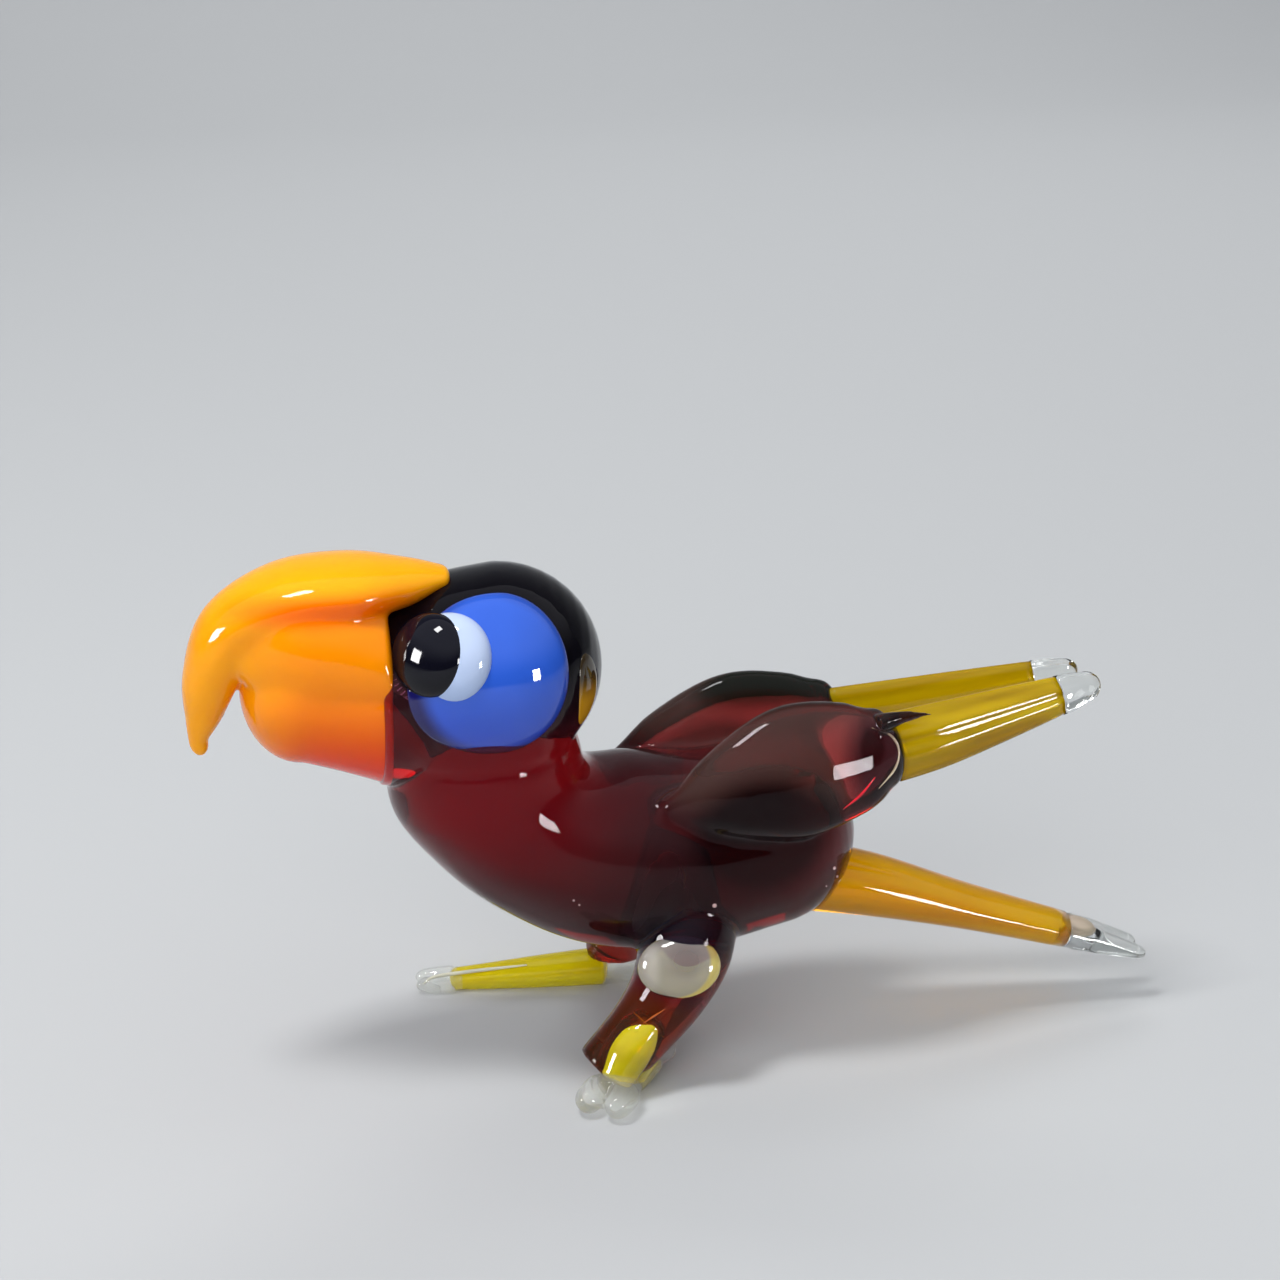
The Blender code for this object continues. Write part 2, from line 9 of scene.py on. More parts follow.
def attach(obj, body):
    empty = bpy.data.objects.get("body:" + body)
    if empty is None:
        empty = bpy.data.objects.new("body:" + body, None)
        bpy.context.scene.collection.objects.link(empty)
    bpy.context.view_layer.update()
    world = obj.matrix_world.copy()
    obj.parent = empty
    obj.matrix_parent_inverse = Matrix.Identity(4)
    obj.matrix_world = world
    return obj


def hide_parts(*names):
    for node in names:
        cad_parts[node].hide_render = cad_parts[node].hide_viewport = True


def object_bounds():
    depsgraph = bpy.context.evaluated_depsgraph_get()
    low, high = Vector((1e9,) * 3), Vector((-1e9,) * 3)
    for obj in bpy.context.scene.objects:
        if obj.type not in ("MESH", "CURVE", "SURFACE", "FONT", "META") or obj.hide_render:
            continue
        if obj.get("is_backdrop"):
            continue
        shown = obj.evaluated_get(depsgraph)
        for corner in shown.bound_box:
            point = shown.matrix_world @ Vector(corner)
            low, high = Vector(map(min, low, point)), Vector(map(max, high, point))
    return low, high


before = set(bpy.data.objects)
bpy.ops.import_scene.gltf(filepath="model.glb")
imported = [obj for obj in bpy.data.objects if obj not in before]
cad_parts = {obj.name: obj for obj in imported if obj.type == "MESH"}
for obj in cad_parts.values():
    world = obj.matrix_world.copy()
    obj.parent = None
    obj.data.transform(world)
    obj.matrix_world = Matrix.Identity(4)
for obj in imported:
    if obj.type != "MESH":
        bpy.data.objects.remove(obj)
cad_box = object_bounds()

# The stand for the picture: a pale floor that sweeps up behind the bird, two soft lamps and
# three windows, two of which are seen only as reflections on the glass. The floor lies a
# hair above the soles, so light passes from the glass into it. Sizes are in millimetres.
MM = 0.001
CAMERA_PLACE = (-32.46, -140.21, 73.1)
CAMERA_TURN = (70.7, 0.0, -12.0)
CAMERA_LENS = 82.8
CAMERA_CLIP = 5
SWEEP_FRONT = -900
SWEEP_BACK = 300
SWEEP_RADIUS = 160
SWEEP_STEPS = 12
SWEEP_TOP = 900
SWEEP_HALF_WIDTH = 2600
FLOOR_GREY = (0.50, 0.51, 0.515)
FLOOR_LIFT = 0.01
ROOM_DARK = (0.06, 0.06, 0.07, 1.0)
ROOM_PALE = (0.60, 0.62, 0.66, 1.0)
ROOM_DARK_UP_TO = 0.12
ROOM_PALE_FROM = 0.65
LAMP_AIM = (-2, 0, 14)
WINDOW_DISTANCE = 320
GLOW_DISTANCE = 420


def linear(red, green, blue):
    """Colour as Blender counts it, from the 0 to 255 numbers of a paint chart."""
    parts = []
    for part in (red, green, blue):
        share = part / 255
        parts.append(share / 12.92 if share <= 0.04045 else ((share + 0.055) / 1.055) ** 2.4)
    return (*parts, 1.0)


def node(tree, kind, values=None, **settings):
    """New node, with values for its inputs and settings of its own."""
    made = tree.nodes.new(kind)
    for key, value in settings.items():
        setattr(made, key, value)
    for key, value in (values or {}).items():
        made.inputs[key].default_value = value
    return made


def soft_range(tree, values=None):
    """Node that moves a value from one range to another, with soft ends."""
    return node(tree, "ShaderNodeMapRange", values, interpolation_type="SMOOTHSTEP")


def new_material(name, **values):
    """New material and its shader, with values for the shader's inputs."""
    material = bpy.data.materials.new(name)
    material.use_nodes = True
    shader = material.node_tree.nodes["Principled BSDF"]
    for label, value in values.items():
        shader.inputs[label.replace("_", " ")].default_value = value
    return material, shader


def add_object(name, data):
    """New object in the scene."""
    thing = bpy.data.objects.new(name, data)
    bpy.context.scene.collection.objects.link(thing)
    return thing


bpy.context.scene.view_settings.view_transform = "Standard"
camera = add_object("camera", bpy.data.cameras.new("camera"))
camera.location = Vector(CAMERA_PLACE) * MM
camera.rotation_euler = [math.radians(angle) for angle in CAMERA_TURN]
camera.data.lens = CAMERA_LENS
camera.data.clip_start = CAMERA_CLIP * MM
bpy.context.scene.camera = camera

profile = [(SWEEP_FRONT, 0.0), (SWEEP_BACK, 0.0)]
for step in range(1, SWEEP_STEPS + 1):
    turn = math.pi / 2 * step / SWEEP_STEPS
    profile.append(
        (SWEEP_BACK + SWEEP_RADIUS * math.sin(turn), SWEEP_RADIUS * (1 - math.cos(turn)))
    )
profile.append((SWEEP_BACK + SWEEP_RADIUS, SWEEP_TOP))
sweep_mesh = bpy.data.meshes.new("sweep")
sweep_mesh.from_pydata(
    [(side * SWEEP_HALF_WIDTH * MM, y * MM, z * MM) for y, z in profile for side in (-1, 1)],
    [],
    [(2 * n, 2 * n + 1, 2 * n + 3, 2 * n + 2) for n in range(len(profile) - 1)],
)
sweep_mesh.shade_smooth()
sweep = add_object("sweep", sweep_mesh)
sweep.location.z = FLOOR_LIFT * MM
paper, _ = new_material(
    "pale_paper", Base_Color=(*FLOOR_GREY, 1.0), Roughness=0.9, Specular_IOR_Level=0.0
)
sweep_mesh.materials.append(paper)
sweep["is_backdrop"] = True

world = bpy.data.worlds.new("room")
world.use_nodes = True
room = world.node_tree
room_way = node(room, "ShaderNodeTexCoord")
room_height = node(room, "ShaderNodeSeparateXYZ")
room_shade = soft_range(room, {"From Min": ROOM_DARK_UP_TO, "From Max": ROOM_PALE_FROM})
room_colour = node(room, "ShaderNodeMix", {"A": ROOM_DARK, "B": ROOM_PALE}, data_type="RGBA")
room.links.new(room_way.outputs["Generated"], room_height.inputs["Vector"])
room.links.new(room_height.outputs["Z"], room_shade.inputs["Value"])
room.links.new(room_shade.outputs["Result"], room_colour.inputs["Factor"])
room.links.new(room_colour.outputs["Result"], room.nodes["Background"].inputs["Color"])
bpy.context.scene.world = world


def lamp(name, way, distance, size, power, mirrored=True, lights=True):
    """A flat lamp that shines on the bird from a direction, with its size in millimetres.
    It can be left out of the mirror images, or be seen in them alone."""
    data = bpy.data.lights.new(name, "AREA")
    data.shape = "RECTANGLE"
    data.size = size[0] * MM
    data.size_y = size[1] * MM
    data.energy = power
    thing = add_object(name, data)
    way = Vector(way).normalized()
    thing.location = Vector(LAMP_AIM) * MM + way * distance * MM
    thing.rotation_euler = way.to_track_quat("Z", "Y").to_euler()
    thing.visible_glossy = mirrored
    thing.visible_diffuse = lights


lamp("roof_window", (-0.33, -0.12, 0.93), WINDOW_DISTANCE, (54, 92), 0.58)
lamp("front_window", (-0.95, -0.18, 0.24), WINDOW_DISTANCE, (84, 84), 1.0, lights=False)
lamp("side_window", (0.60, -0.82, 0.10), WINDOW_DISTANCE, (54, 66), 0.45, lights=False)
lamp("front_glow", (-0.55, -0.9, 0.55), GLOW_DISTANCE, (300, 260), 0.86, mirrored=False)
lamp("back_glow", (0.3, 0.9, 0.75), GLOW_DISTANCE, (260, 160), 0.5, mirrored=False)

# The ruby glass: one thick gather drawn into rump, breast and neck, with the head ball,
# the two wing leaves and the two legs melted on to it. In the flame their joints run
# together, so the ruby is one skin with soft hollows where they meet.
BODY_ROWS = (
    (-10.80, 19.40, 4.20, 4.60, 2),
    (-10.95, 17.70, 4.95, 5.20, 5),
    (-10.70, 15.75, 5.15, 5.25, 13),
    (-9.35, 14.05, 4.90, 5.30, 28),
    (-7.40, 12.70, 4.90, 5.35, 49),
    (-4.10, 11.50, 5.25, 5.40, 74),
    (0.50, 11.10, 5.20, 5.20, 90),
    (3.90, 11.60, 5.00, 5.00, 98),
)
RUMP = 5.0
HEAD_ROWS = (
    (-16.50, 20.72, 4.42, 4.42, 90),
    (-15.20, 21.10, 4.78, 4.78, 90),
    (-13.05, 21.83, 5.16, 5.16, 90),
    (-10.10, 22.10, 5.35, 5.35, 90),
)
HEAD_BACK = 5.35
NECK_ROWS = (
    (-11.20, 22.20, 4.60, 4.70, 0),
    (-11.20, 20.40, 4.85, 5.00, 0),
    (-11.00, 18.40, 5.00, 5.20, 4),
)
WING_ROWS = (
    (-1.8, 4.0, 15.1, 0.70, 0.50),
    (0.8, 4.1, 15.7, 2.30, 1.30),
    (4.4, 4.0, 16.5, 3.50, 1.60),
    (7.8, 3.6, 16.9, 3.00, 1.50),
    (9.4, 3.3, 17.2, 2.20, 1.30),
)
WING_LEAN = 17
WING_DOMES = (0.6, 1.2)
WING_SHIFT = {"left": (0.0, 0.0), "right": (-1.4, -0.4)}
LEG_ROWS = {
    "left": (
        (-0.6, 2.6, 8.6, 2.70),
        (-1.1, 3.7, 6.7, 2.50),
        (-2.1, 4.4, 4.9, 2.10),
        (-3.6, 4.8, 3.1, 1.80),
        (-5.7, 5.1, 1.0, 1.65),
    ),
    "right": (
        (-0.6, 2.6, 8.6, 2.70),
        (-1.0, 4.2, 6.8, 2.50),
        (-1.6, 5.7, 5.0, 2.10),
        (-2.2, 6.8, 3.4, 1.75),
        (-2.8, 7.6, 1.6, 1.50),
    ),
}
ANKLE = {"left": 1.3, "right": 1.8}
KNEE_HALF_WIDTH = 2.15
KNEE_HALF_HEIGHT = 1.65
KNEE_DOME = 0.8
KNEE_BACK_DOME = 0.3
KNEE_BACK_SINK = 0.3
KNEE_BACK_SHARE = 0.74
KNEE_ROW = 1.32
KNEE_WAY = (-0.22, 0.90, 0.40)
KNEE_RISE = 0.3
KNEE_FORWARD = -0.05
KNEE_OVERLAP = 0.02
ANKLE_CORE = (
    (-3.35, 5.60, 3.75, 0.85, 0.98),
    (-4.00, 5.72, 3.05, 1.10, 1.18),
    (-4.70, 5.90, 2.10, 1.15, 1.22),
    (-5.35, 6.15, 1.20, 0.95, 1.15),
)
ANKLE_CORE_DOMES = (0.6, 0.3)
SPIKE_ROWS = ((9.0, 4.1, 18.9, 0.55), (10.6, 3.95, 19.1, 0.32), (12.0, 3.75, 19.05, 0.10))
SPIKE_DOMES = (0.0, 0.1)
SPIKE_SIDES = 24
LIMB_SIDES = 48
DOME_STEPS = 10
CLEAR_HAZE = (0.0, 0.04)
WAVE_SCALE = 220.0
RUBY_MELT = (0.16, 12)
SOFT_STEPS = 6
SOFT_REACH = 1.4
SOFT_FADE = 0.8
WING_SEAM = (1.6, 4.9, 14.9)
WING_SEAM_RADII = (4.4, 2.4, 1.7)
WING_SEAM_PASSES = 115
SHARP_EDGE = 40
SLIVER = 0.003
SIDE = {"left": -1, "right": 1}
# Tints of places in the ruby: middle, radii, softness of the edge, and colour.
RUBY_ZONES = {
    "breast": ((-10.5, 0.0, 16.2), (6.5, 7.0, 5.0), 0.35, (1.0, 0.06, 0.11, 1.0)),
    "head": ((-10.4, 0.0, 23.7), (6.6, 7.0, 4.7), 0.20, (0.035, 0.03, 0.06, 1.0)),
    # Painted shade: the underside darkened where the bird shades the floor beneath it.
    "belly_shade": ((-0.5, 0.0, 9.6), (8.0, 6.6, 3.6), 0.30, (0.16, 0.05, 0.06, 1.0)),
    # Painted reflection: a brown-mauve tint over the wings for the pale room mirrored on their
    # tops.
    "wing_reflection": ((3.9, 4.6, 17.9), (7.6, 3.4, 3.4), 0.25, (0.70, 0.40, 0.34, 1.0)),
    "wing_end": ((9.4, 4.2, 16.9), (2.4, 3.6, 2.6), 0.35, (0.11, 0.09, 0.10, 1.0)),
    "wing_inside": ((5.0, 2.3, 19.6), (5.5, 1.3, 1.9), 0.30, (0.10, 0.13, 0.09, 1.0)),
    "brown_oval": ((8.6, 4.9, 17.8), (0.7, 3.0, 0.95), 0.25, (0.04, 0.02, 0.02, 1.0)),
    # Painted shadow: the flank darkened under the wing.
    "wing_shadow": ((2.9, 5.4, 13.6), (3.9, 3.6, 3.2), 0.25, (0.04, 0.015, 0.02, 1.0)),
    "thigh": ((-2.0, 4.5, 7.9), (2.8, 2.8, 1.8), 0.50, (0.08, 0.06, 0.12, 1.0)),
    "ankle": ((-3.6, 5.2, 2.8), (3.4, 3.4, 2.8), 0.20, (0.46, 0.16, 0.04, 1.0)),
    "spike": ((11.4, 3.9, 19.1), (2.0, 2.0, 0.9), 0.20, (0.06, 0.03, 0.03, 1.0)),
}


def drawn(rows, steps=8):
    """Rows on the smooth line that glass takes when it is drawn through these rows."""
    rows = np.array(rows, float)
    knots = np.vstack([2 * rows[0] - rows[1], rows, 2 * rows[-1] - rows[-2]])
    found = []
    for start in range(len(rows) - 1):
        before, here, ahead, after = knots[start : start + 4]
        for step in range(steps):
            t = step / steps
            found.append(
                (
                    2 * here
                    + (ahead - before) * t
                    + (2 * before - 5 * here + 4 * ahead - after) * t**2
                    + (3 * here - before - 3 * ahead + after) * t**3
                )
                / 2
            )
    found.append(rows[-1])
    return np.array(found)


def middle_rings(rows):
    """Rings across the bird's middle, from x, z, half height, half width and angle."""
    rings = []
    for x, z, half_height, half_width, angle in drawn(rows):
        turn = math.radians(angle)
        rise = np.array([math.cos(turn), 0, math.sin(turn)]) * half_height
        rings.append((np.array([x, 0, z]), np.array([0, half_width, 0]), rise))
    return rings


def limb_rings(rows, side, lean=0.0):
    """Rings along a limb on one side, from x, distance from the middle, z and half sizes.
    A round limb has one radius in place of the half sizes."""
    rows = np.array(rows, float)
    rows[:, 1] *= SIDE[side]
    rows = drawn(rows)
    rings = []
    for row, way in zip(rows, np.gradient(rows[:, :3], axis=0)):
        way = way / np.linalg.norm(way)
        rise = np.array([0.0, -SIDE[side] * math.tan(math.radians(lean)), 1.0])
        rise -= way * (rise @ way)
        rise /= np.linalg.norm(rise)
        rings.append((row[:3], np.cross(rise, way) * row[-1], rise * row[3]))
    return rings


def skin(shape, rings, domes=(0.0, 0.0), sides=64, groove=None):
    """Adds a closed skin over rings to a mesh, with a round end of each given length."""
    whole = list(rings)
    poles = []
    for end, inner, dome in ((0, 1, domes[0]), (-1, -2, domes[1])):
        centre, across, rise = rings[end]
        out = np.cross(across, rise)
        out *= np.sign(out @ (centre - rings[inner][0])) / np.linalg.norm(out)
        closing = []
        for step in range(1, DOME_STEPS):
            turn = math.pi / 2 * step / DOME_STEPS
            peak = centre + out * dome * math.sin(turn)
            closing.append((peak, across * math.cos(turn), rise * math.cos(turn)))
        poles.append(centre + out * dome)
        whole = closing[::-1] + whole if end == 0 else whole + closing
    loops = []
    for centre, across, rise in whole:
        loop = []
        for number in range(sides):
            turn = 2 * math.pi * number / sides
            width = math.cos(turn)
            height = math.sin(turn)
            if groove:
                width *= groove(height)
            place = centre + across * width + rise * height
            loop.append(shape.verts.new(Vector(place) * MM))
        loops.append(loop)
    for lower, upper in zip(loops, loops[1:]):
        for number in range(sides):
            after = (number + 1) % sides
            shape.faces.new((lower[number], lower[after], upper[after], upper[number]))
    for pole, loop in ((poles[0], loops[0][::-1]), (poles[1], loops[-1])):
        tip = shape.verts.new(Vector(pole) * MM)
        for number in range(sides):
            shape.faces.new((loop[number], loop[(number + 1) % sides], tip))


def made_piece(name, shape):
    """Turns a finished bmesh into a smooth piece in the scene."""
    mesh = bpy.data.meshes.new(name)
    shape.to_mesh(mesh)
    shape.free()
    mesh.shade_smooth()
    return add_object(name, mesh)


def baked(thing):
    """Puts a piece's modifiers into its mesh."""
    graph = bpy.context.evaluated_depsgraph_get()
    mesh = bpy.data.meshes.new_from_object(thing.evaluated_get(graph))
    thing.modifiers.clear()
    thing.vertex_groups.clear()
    mesh.shade_smooth()
    thing.data = mesh


def melted(name, shape, grain, passes):
    """Piece whose lofts have run together: remeshed at a grain and smoothed in passes."""
    bmesh.ops.recalc_face_normals(shape, faces=shape.faces)
    thing = made_piece(name, shape)
    remesh = thing.modifiers.new("melt", "REMESH")
    remesh.mode = "VOXEL"
    remesh.voxel_size = grain * MM
    settle = thing.modifiers.new("settle", "SMOOTH")
    settle.factor = 0.5
    settle.iterations = passes
    baked(thing)
    return thing


def points_of(thing):
    """Places of a piece's mesh points, one row each."""
    points = np.empty(len(thing.data.vertices) * 3, np.float32)
    thing.data.vertices.foreach_get("co", points)
    return points.reshape(-1, 3)


def move_points(thing, points):
    """Puts a piece's mesh points at new places."""
    thing.data.vertices.foreach_set("co", points.astype(np.float32).ravel())
    thing.data.update()


def softened(thing, centre, radii, passes):
    """Smooths a piece further round a place and the place opposite, fading outwards."""
    points = points_of(thing) / MM
    points[:, 1] = np.abs(points[:, 1])
    away = np.linalg.norm((points - np.array(centre)) / np.array(radii), axis=1)
    levels = np.ceil((SOFT_REACH - away) / SOFT_FADE * SOFT_STEPS)
    levels = np.clip(levels, 0, SOFT_STEPS)
    group = thing.vertex_groups.new(name="soft")
    for level in range(1, SOFT_STEPS + 1):
        chosen = np.flatnonzero(levels == level).tolist()
        group.add(chosen, level / SOFT_STEPS, "REPLACE")
    settle = thing.modifiers.new("settle", "SMOOTH")
    settle.vertex_group = group.name
    settle.factor = 0.5
    settle.iterations = passes
    baked(thing)


def pressed_flat(thing, left, right):
    """Lifts what lies below a lowest height on each side of the bird up to that height."""
    points = points_of(thing)
    lowest = np.where(points[:, 1] < 0, left, right) * MM
    points[:, 2] = np.maximum(points[:, 2], lowest)
    move_points(thing, points)


def new_group(name, outputs, **inputs):
    """Empty shader group with its start and end nodes, from labels and first values."""
    group = bpy.data.node_groups.new(name, "ShaderNodeTree")
    for label, value in inputs.items():
        socket = group.interface.new_socket(
            label.replace("_", " "),
            in_out="INPUT",
            socket_type="NodeSocketFloat" if isinstance(value, float) else "NodeSocketVector",
        )
        socket.default_value = value
    for label in outputs:
        group.interface.new_socket(label, in_out="OUTPUT", socket_type="NodeSocketFloat")
    return group, node(group, "NodeGroupInput"), node(group, "NodeGroupOutput")


def flame_finish_group():
    """Slow waves that the flame leaves in the surface, and the faint haze on top."""
    group, start, end = new_group(
        "flame_finish", ("Height", "Roughness"), Wave_Scale=250.0, Haze_Low=0.0, Haze_High=0.06
    )
    place = node(group, "ShaderNodeTexCoord")
    waves = node(group, "ShaderNodeTexNoise", {"Detail": 1.0})
    haze = node(group, "ShaderNodeTexNoise", {"Scale": 900.0, "Detail": 3.0})
    spread = node(group, "ShaderNodeMapRange", {"From Min": 0.35, "From Max": 0.75})
    link = group.links.new
    link(place.outputs["Object"], waves.inputs["Vector"])
    link(place.outputs["Object"], haze.inputs["Vector"])
    link(start.outputs["Wave Scale"], waves.inputs["Scale"])
    link(haze.outputs["Fac"], spread.inputs["Value"])
    link(start.outputs["Haze Low"], spread.inputs["To Min"])
    link(start.outputs["Haze High"], spread.inputs["To Max"])
    link(waves.outputs["Fac"], end.inputs["Height"])
    link(spread.outputs["Result"], end.inputs["Roughness"])
    return group


flame_finish = flame_finish_group()


def rod_streaks_group():
    """Lengthwise streaks of a drawn rod, as a mask, along the X axis tilted by a slope."""
    level = (0.0, 0.0, 0.0)
    group, start, end = new_group(
        "rod_streaks", ("Mask",), Fineness=900.0, Length=0.08, Sharpness=0.25, Tilt=level
    )
    place = node(group, "ShaderNodeTexCoord")
    turned = node(group, "ShaderNodeVectorRotate", rotation_type="EULER_XYZ")
    scale = node(group, "ShaderNodeVectorMath", operation="MULTIPLY")
    along = node(group, "ShaderNodeCombineXYZ", {"Y": 1.0, "Z": 1.0})
    noise = node(group, "ShaderNodeTexNoise", {"Detail": 2.5})
    low = node(group, "ShaderNodeMath", {0: 0.5}, operation="SUBTRACT")
    high = node(group, "ShaderNodeMath", {0: 0.5}, operation="ADD")
    spread = soft_range(group)
    link = group.links.new
    link(place.outputs["Object"], turned.inputs["Vector"])
    link(start.outputs["Tilt"], turned.inputs["Rotation"])
    link(start.outputs["Length"], along.inputs["X"])
    link(turned.outputs["Vector"], scale.inputs[0])
    link(along.outputs["Vector"], scale.inputs[1])
    link(scale.outputs["Vector"], noise.inputs["Vector"])
    link(start.outputs["Fineness"], noise.inputs["Scale"])
    link(noise.outputs["Fac"], spread.inputs["Value"])
    link(start.outputs["Sharpness"], low.inputs[1])
    link(start.outputs["Sharpness"], high.inputs[1])
    link(low.outputs["Value"], spread.inputs["From Min"])
    link(high.outputs["Value"], spread.inputs["From Max"])
    link(spread.outputs["Result"], end.inputs["Mask"])
    return group


rod_streaks = rod_streaks_group()


def near_place_group():
    """Mask that is 1 inside a rounded zone and fades to 0 round it, the same on the
    left and on the right of the bird."""
    nowhere = (0.0, 0.0, 0.0)
    group, start, end = new_group(
        "near_place", ("Mask",), Centre=nowhere, Radii=nowhere, Softness=0.3
    )
    place = node(group, "ShaderNodeTexCoord")
    parts = node(group, "ShaderNodeSeparateXYZ")
    either = node(group, "ShaderNodeMath", operation="ABSOLUTE")
    folded = node(group, "ShaderNodeCombineXYZ")
    away = node(group, "ShaderNodeVectorMath", operation="SUBTRACT")
    share = node(group, "ShaderNodeVectorMath", operation="DIVIDE")
    length = node(group, "ShaderNodeVectorMath", operation="LENGTH")
    inner = node(group, "ShaderNodeMath", {0: 1.0}, operation="SUBTRACT")
    outer = node(group, "ShaderNodeMath", {0: 1.0}, operation="ADD")
    spread = soft_range(group, {"To Min": 1.0, "To Max": 0.0})
    link = group.links.new
    link(place.outputs["Object"], parts.inputs["Vector"])
    link(parts.outputs["Y"], either.inputs[0])
    link(parts.outputs["X"], folded.inputs["X"])
    link(either.outputs["Value"], folded.inputs["Y"])
    link(parts.outputs["Z"], folded.inputs["Z"])
    link(folded.outputs["Vector"], away.inputs[0])
    link(start.outputs["Centre"], away.inputs[1])
    link(away.outputs["Vector"], share.inputs[0])
    link(start.outputs["Radii"], share.inputs[1])
    link(share.outputs["Vector"], length.inputs[0])
    link(start.outputs["Softness"], inner.inputs[1])
    link(start.outputs["Softness"], outer.inputs[1])
    link(length.outputs["Value"], spread.inputs["Value"])
    link(inner.outputs["Value"], spread.inputs["From Min"])
    link(outer.outputs["Value"], spread.inputs["From Max"])
    link(spread.outputs["Result"], end.inputs["Mask"])
    return group


near_place = near_place_group()


def place_group(material, group, **values):
    """Puts a group into a material and sets its inputs."""
    values = {label.replace("_", " "): value for label, value in values.items()}
    return node(material.node_tree, "ShaderNodeGroup", values, node_tree=group)


def zone_mask(material, centre, radii, softness):
    """Mask of a rounded zone, given in millimetres."""
    places = {"Centre": Vector(centre) * MM, "Radii": Vector(radii) * MM}
    zone = place_group(material, near_place, **places, Softness=softness)
    return zone.outputs["Mask"]


def blend_colours(tree, mask, first, second, blend_type="MIX"):
    """Mixes two colours by a mask. Each of the three is a socket or a fixed value."""
    mix = node(tree, "ShaderNodeMix", data_type="RGBA", blend_type=blend_type)
    for label, value in (("Factor", mask), ("A", first), ("B", second)):
        if isinstance(value, bpy.types.NodeSocket):
            tree.links.new(value, mix.inputs[label])
        else:
            mix.inputs[label].default_value = value
    return mix.outputs["Result"]


def finish(material, shader, wave_scale, wave_height, haze):
    """Gives a material the flame's slow waves and its faint haze."""
    polish = place_group(
        material, flame_finish, Wave_Scale=wave_scale, Haze_Low=haze[0], Haze_High=haze[1]
    )
    values = {"Strength": 1.0, "Distance": wave_height * MM}
    bump = node(material.node_tree, "ShaderNodeBump", values)
    link = material.node_tree.links.new
    link(polish.outputs["Height"], bump.inputs["Height"])
    link(bump.outputs["Normal"], shader.inputs["Normal"])
    link(polish.outputs["Roughness"], shader.inputs["Roughness"])


def clear_glass(
    name,
    pale,
    deep,
    absorb,
    density,
    streaks,
    ior=1.5,
    transmission=1.0,
    coat=0.0,
    mirror=(1.0, 1.0, 1.0, 1.0),
    alpha=1.0,
    wave_scale=WAVE_SCALE,
    wave_height=0.05,
    zones=(),
):
    """Glass that light passes: its skin runs from pale to deep in streaks, and its bulk
    takes up light by the way through it. Mirror lowers what it reflects, and an alpha below
    1 lets the ground show. Zones are tinted places, some of them painted shade and reflection."""
    material, shader = new_material(
        name,
        Transmission_Weight=transmission,
        Coat_Weight=coat,
        Specular_Tint=mirror,
        IOR=ior,
        Alpha=alpha,
    )
    tree = material.node_tree
    mask = place_group(material, rod_streaks, **streaks)
    colour = blend_colours(tree, mask.outputs["Mask"], pale, deep)
    for *zone, tint in zones:
        colour = blend_colours(tree, zone_mask(material, *zone), colour, tint)
    tree.links.new(colour, shader.inputs["Base Color"])
    finish(material, shader, wave_scale, wave_height, CLEAR_HAZE)
    bulk = node(tree, "ShaderNodeVolumeAbsorption", {"Color": absorb, "Density": density})
    tree.links.new(bulk.outputs["Volume"], tree.nodes["Material Output"].inputs["Volume"])
    return material


ruby_glass = clear_glass(
    "ruby_glass",
    pale=(0.50, 0.13, 0.15, 1.0),
    deep=(0.32, 0.07, 0.09, 1.0),
    absorb=(0.80, 0.03, 0.12, 1.0),
    density=900.0,
    streaks={"Fineness": 260.0, "Length": 0.5, "Sharpness": 0.3},
    wave_height=0.06,
    transmission=0.94,
    mirror=(0.30, 0.28, 0.29, 1.0),
    zones=RUBY_ZONES.values(),
)
ruby = bmesh.new()
skin(ruby, middle_rings(BODY_ROWS), (0.0, RUMP))
skin(ruby, middle_rings(HEAD_ROWS), (0.0, HEAD_BACK))
skin(ruby, middle_rings(NECK_ROWS))
for side, (forward, up) in WING_SHIFT.items():
    rows = [(x + forward, out, z + up, *more) for x, out, z, *more in WING_ROWS]
    skin(ruby, limb_rings(rows, side, WING_LEAN), WING_DOMES, LIMB_SIDES)
    skin(ruby, limb_rings(LEG_ROWS[side], side), sides=LIMB_SIDES)
skin(ruby, limb_rings(SPIKE_ROWS, "left"), SPIKE_DOMES, SPIKE_SIDES)
ruby_skin = melted("ruby_skin", ruby, *RUBY_MELT)
softened(ruby_skin, WING_SEAM, WING_SEAM_RADII, WING_SEAM_PASSES)


def loft(name, rings, domes=(0.0, 0.0), sides=64, groove=None):
    """Piece that is one skin over rings."""
    shape = bmesh.new()
    skin(shape, rings, domes, sides, groove)
    bmesh.ops.recalc_face_normals(shape, faces=shape.faces)
    return made_piece(name, shape)


def knee_seat(side):
    """Middle of a knee bead, its way out of the leg, its level way and the leg's radius."""
    way = Vector((KNEE_WAY[0], SIDE[side] * KNEE_WAY[1], KNEE_WAY[2])).normalized()
    level = Vector((1, 0, 0))
    level = (level - way * level.dot(way)).normalized()
    first = int(KNEE_ROW)
    share = KNEE_ROW - first
    spot = [
        a * (1 - share) + b * share
        for a, b in zip(LEG_ROWS[side][first], LEG_ROWS[side][first + 1])
    ]
    middle = Vector((spot[0], SIDE[side] * spot[1], spot[2])) - level * KNEE_FORWARD
    return middle, way, level, spot[3]


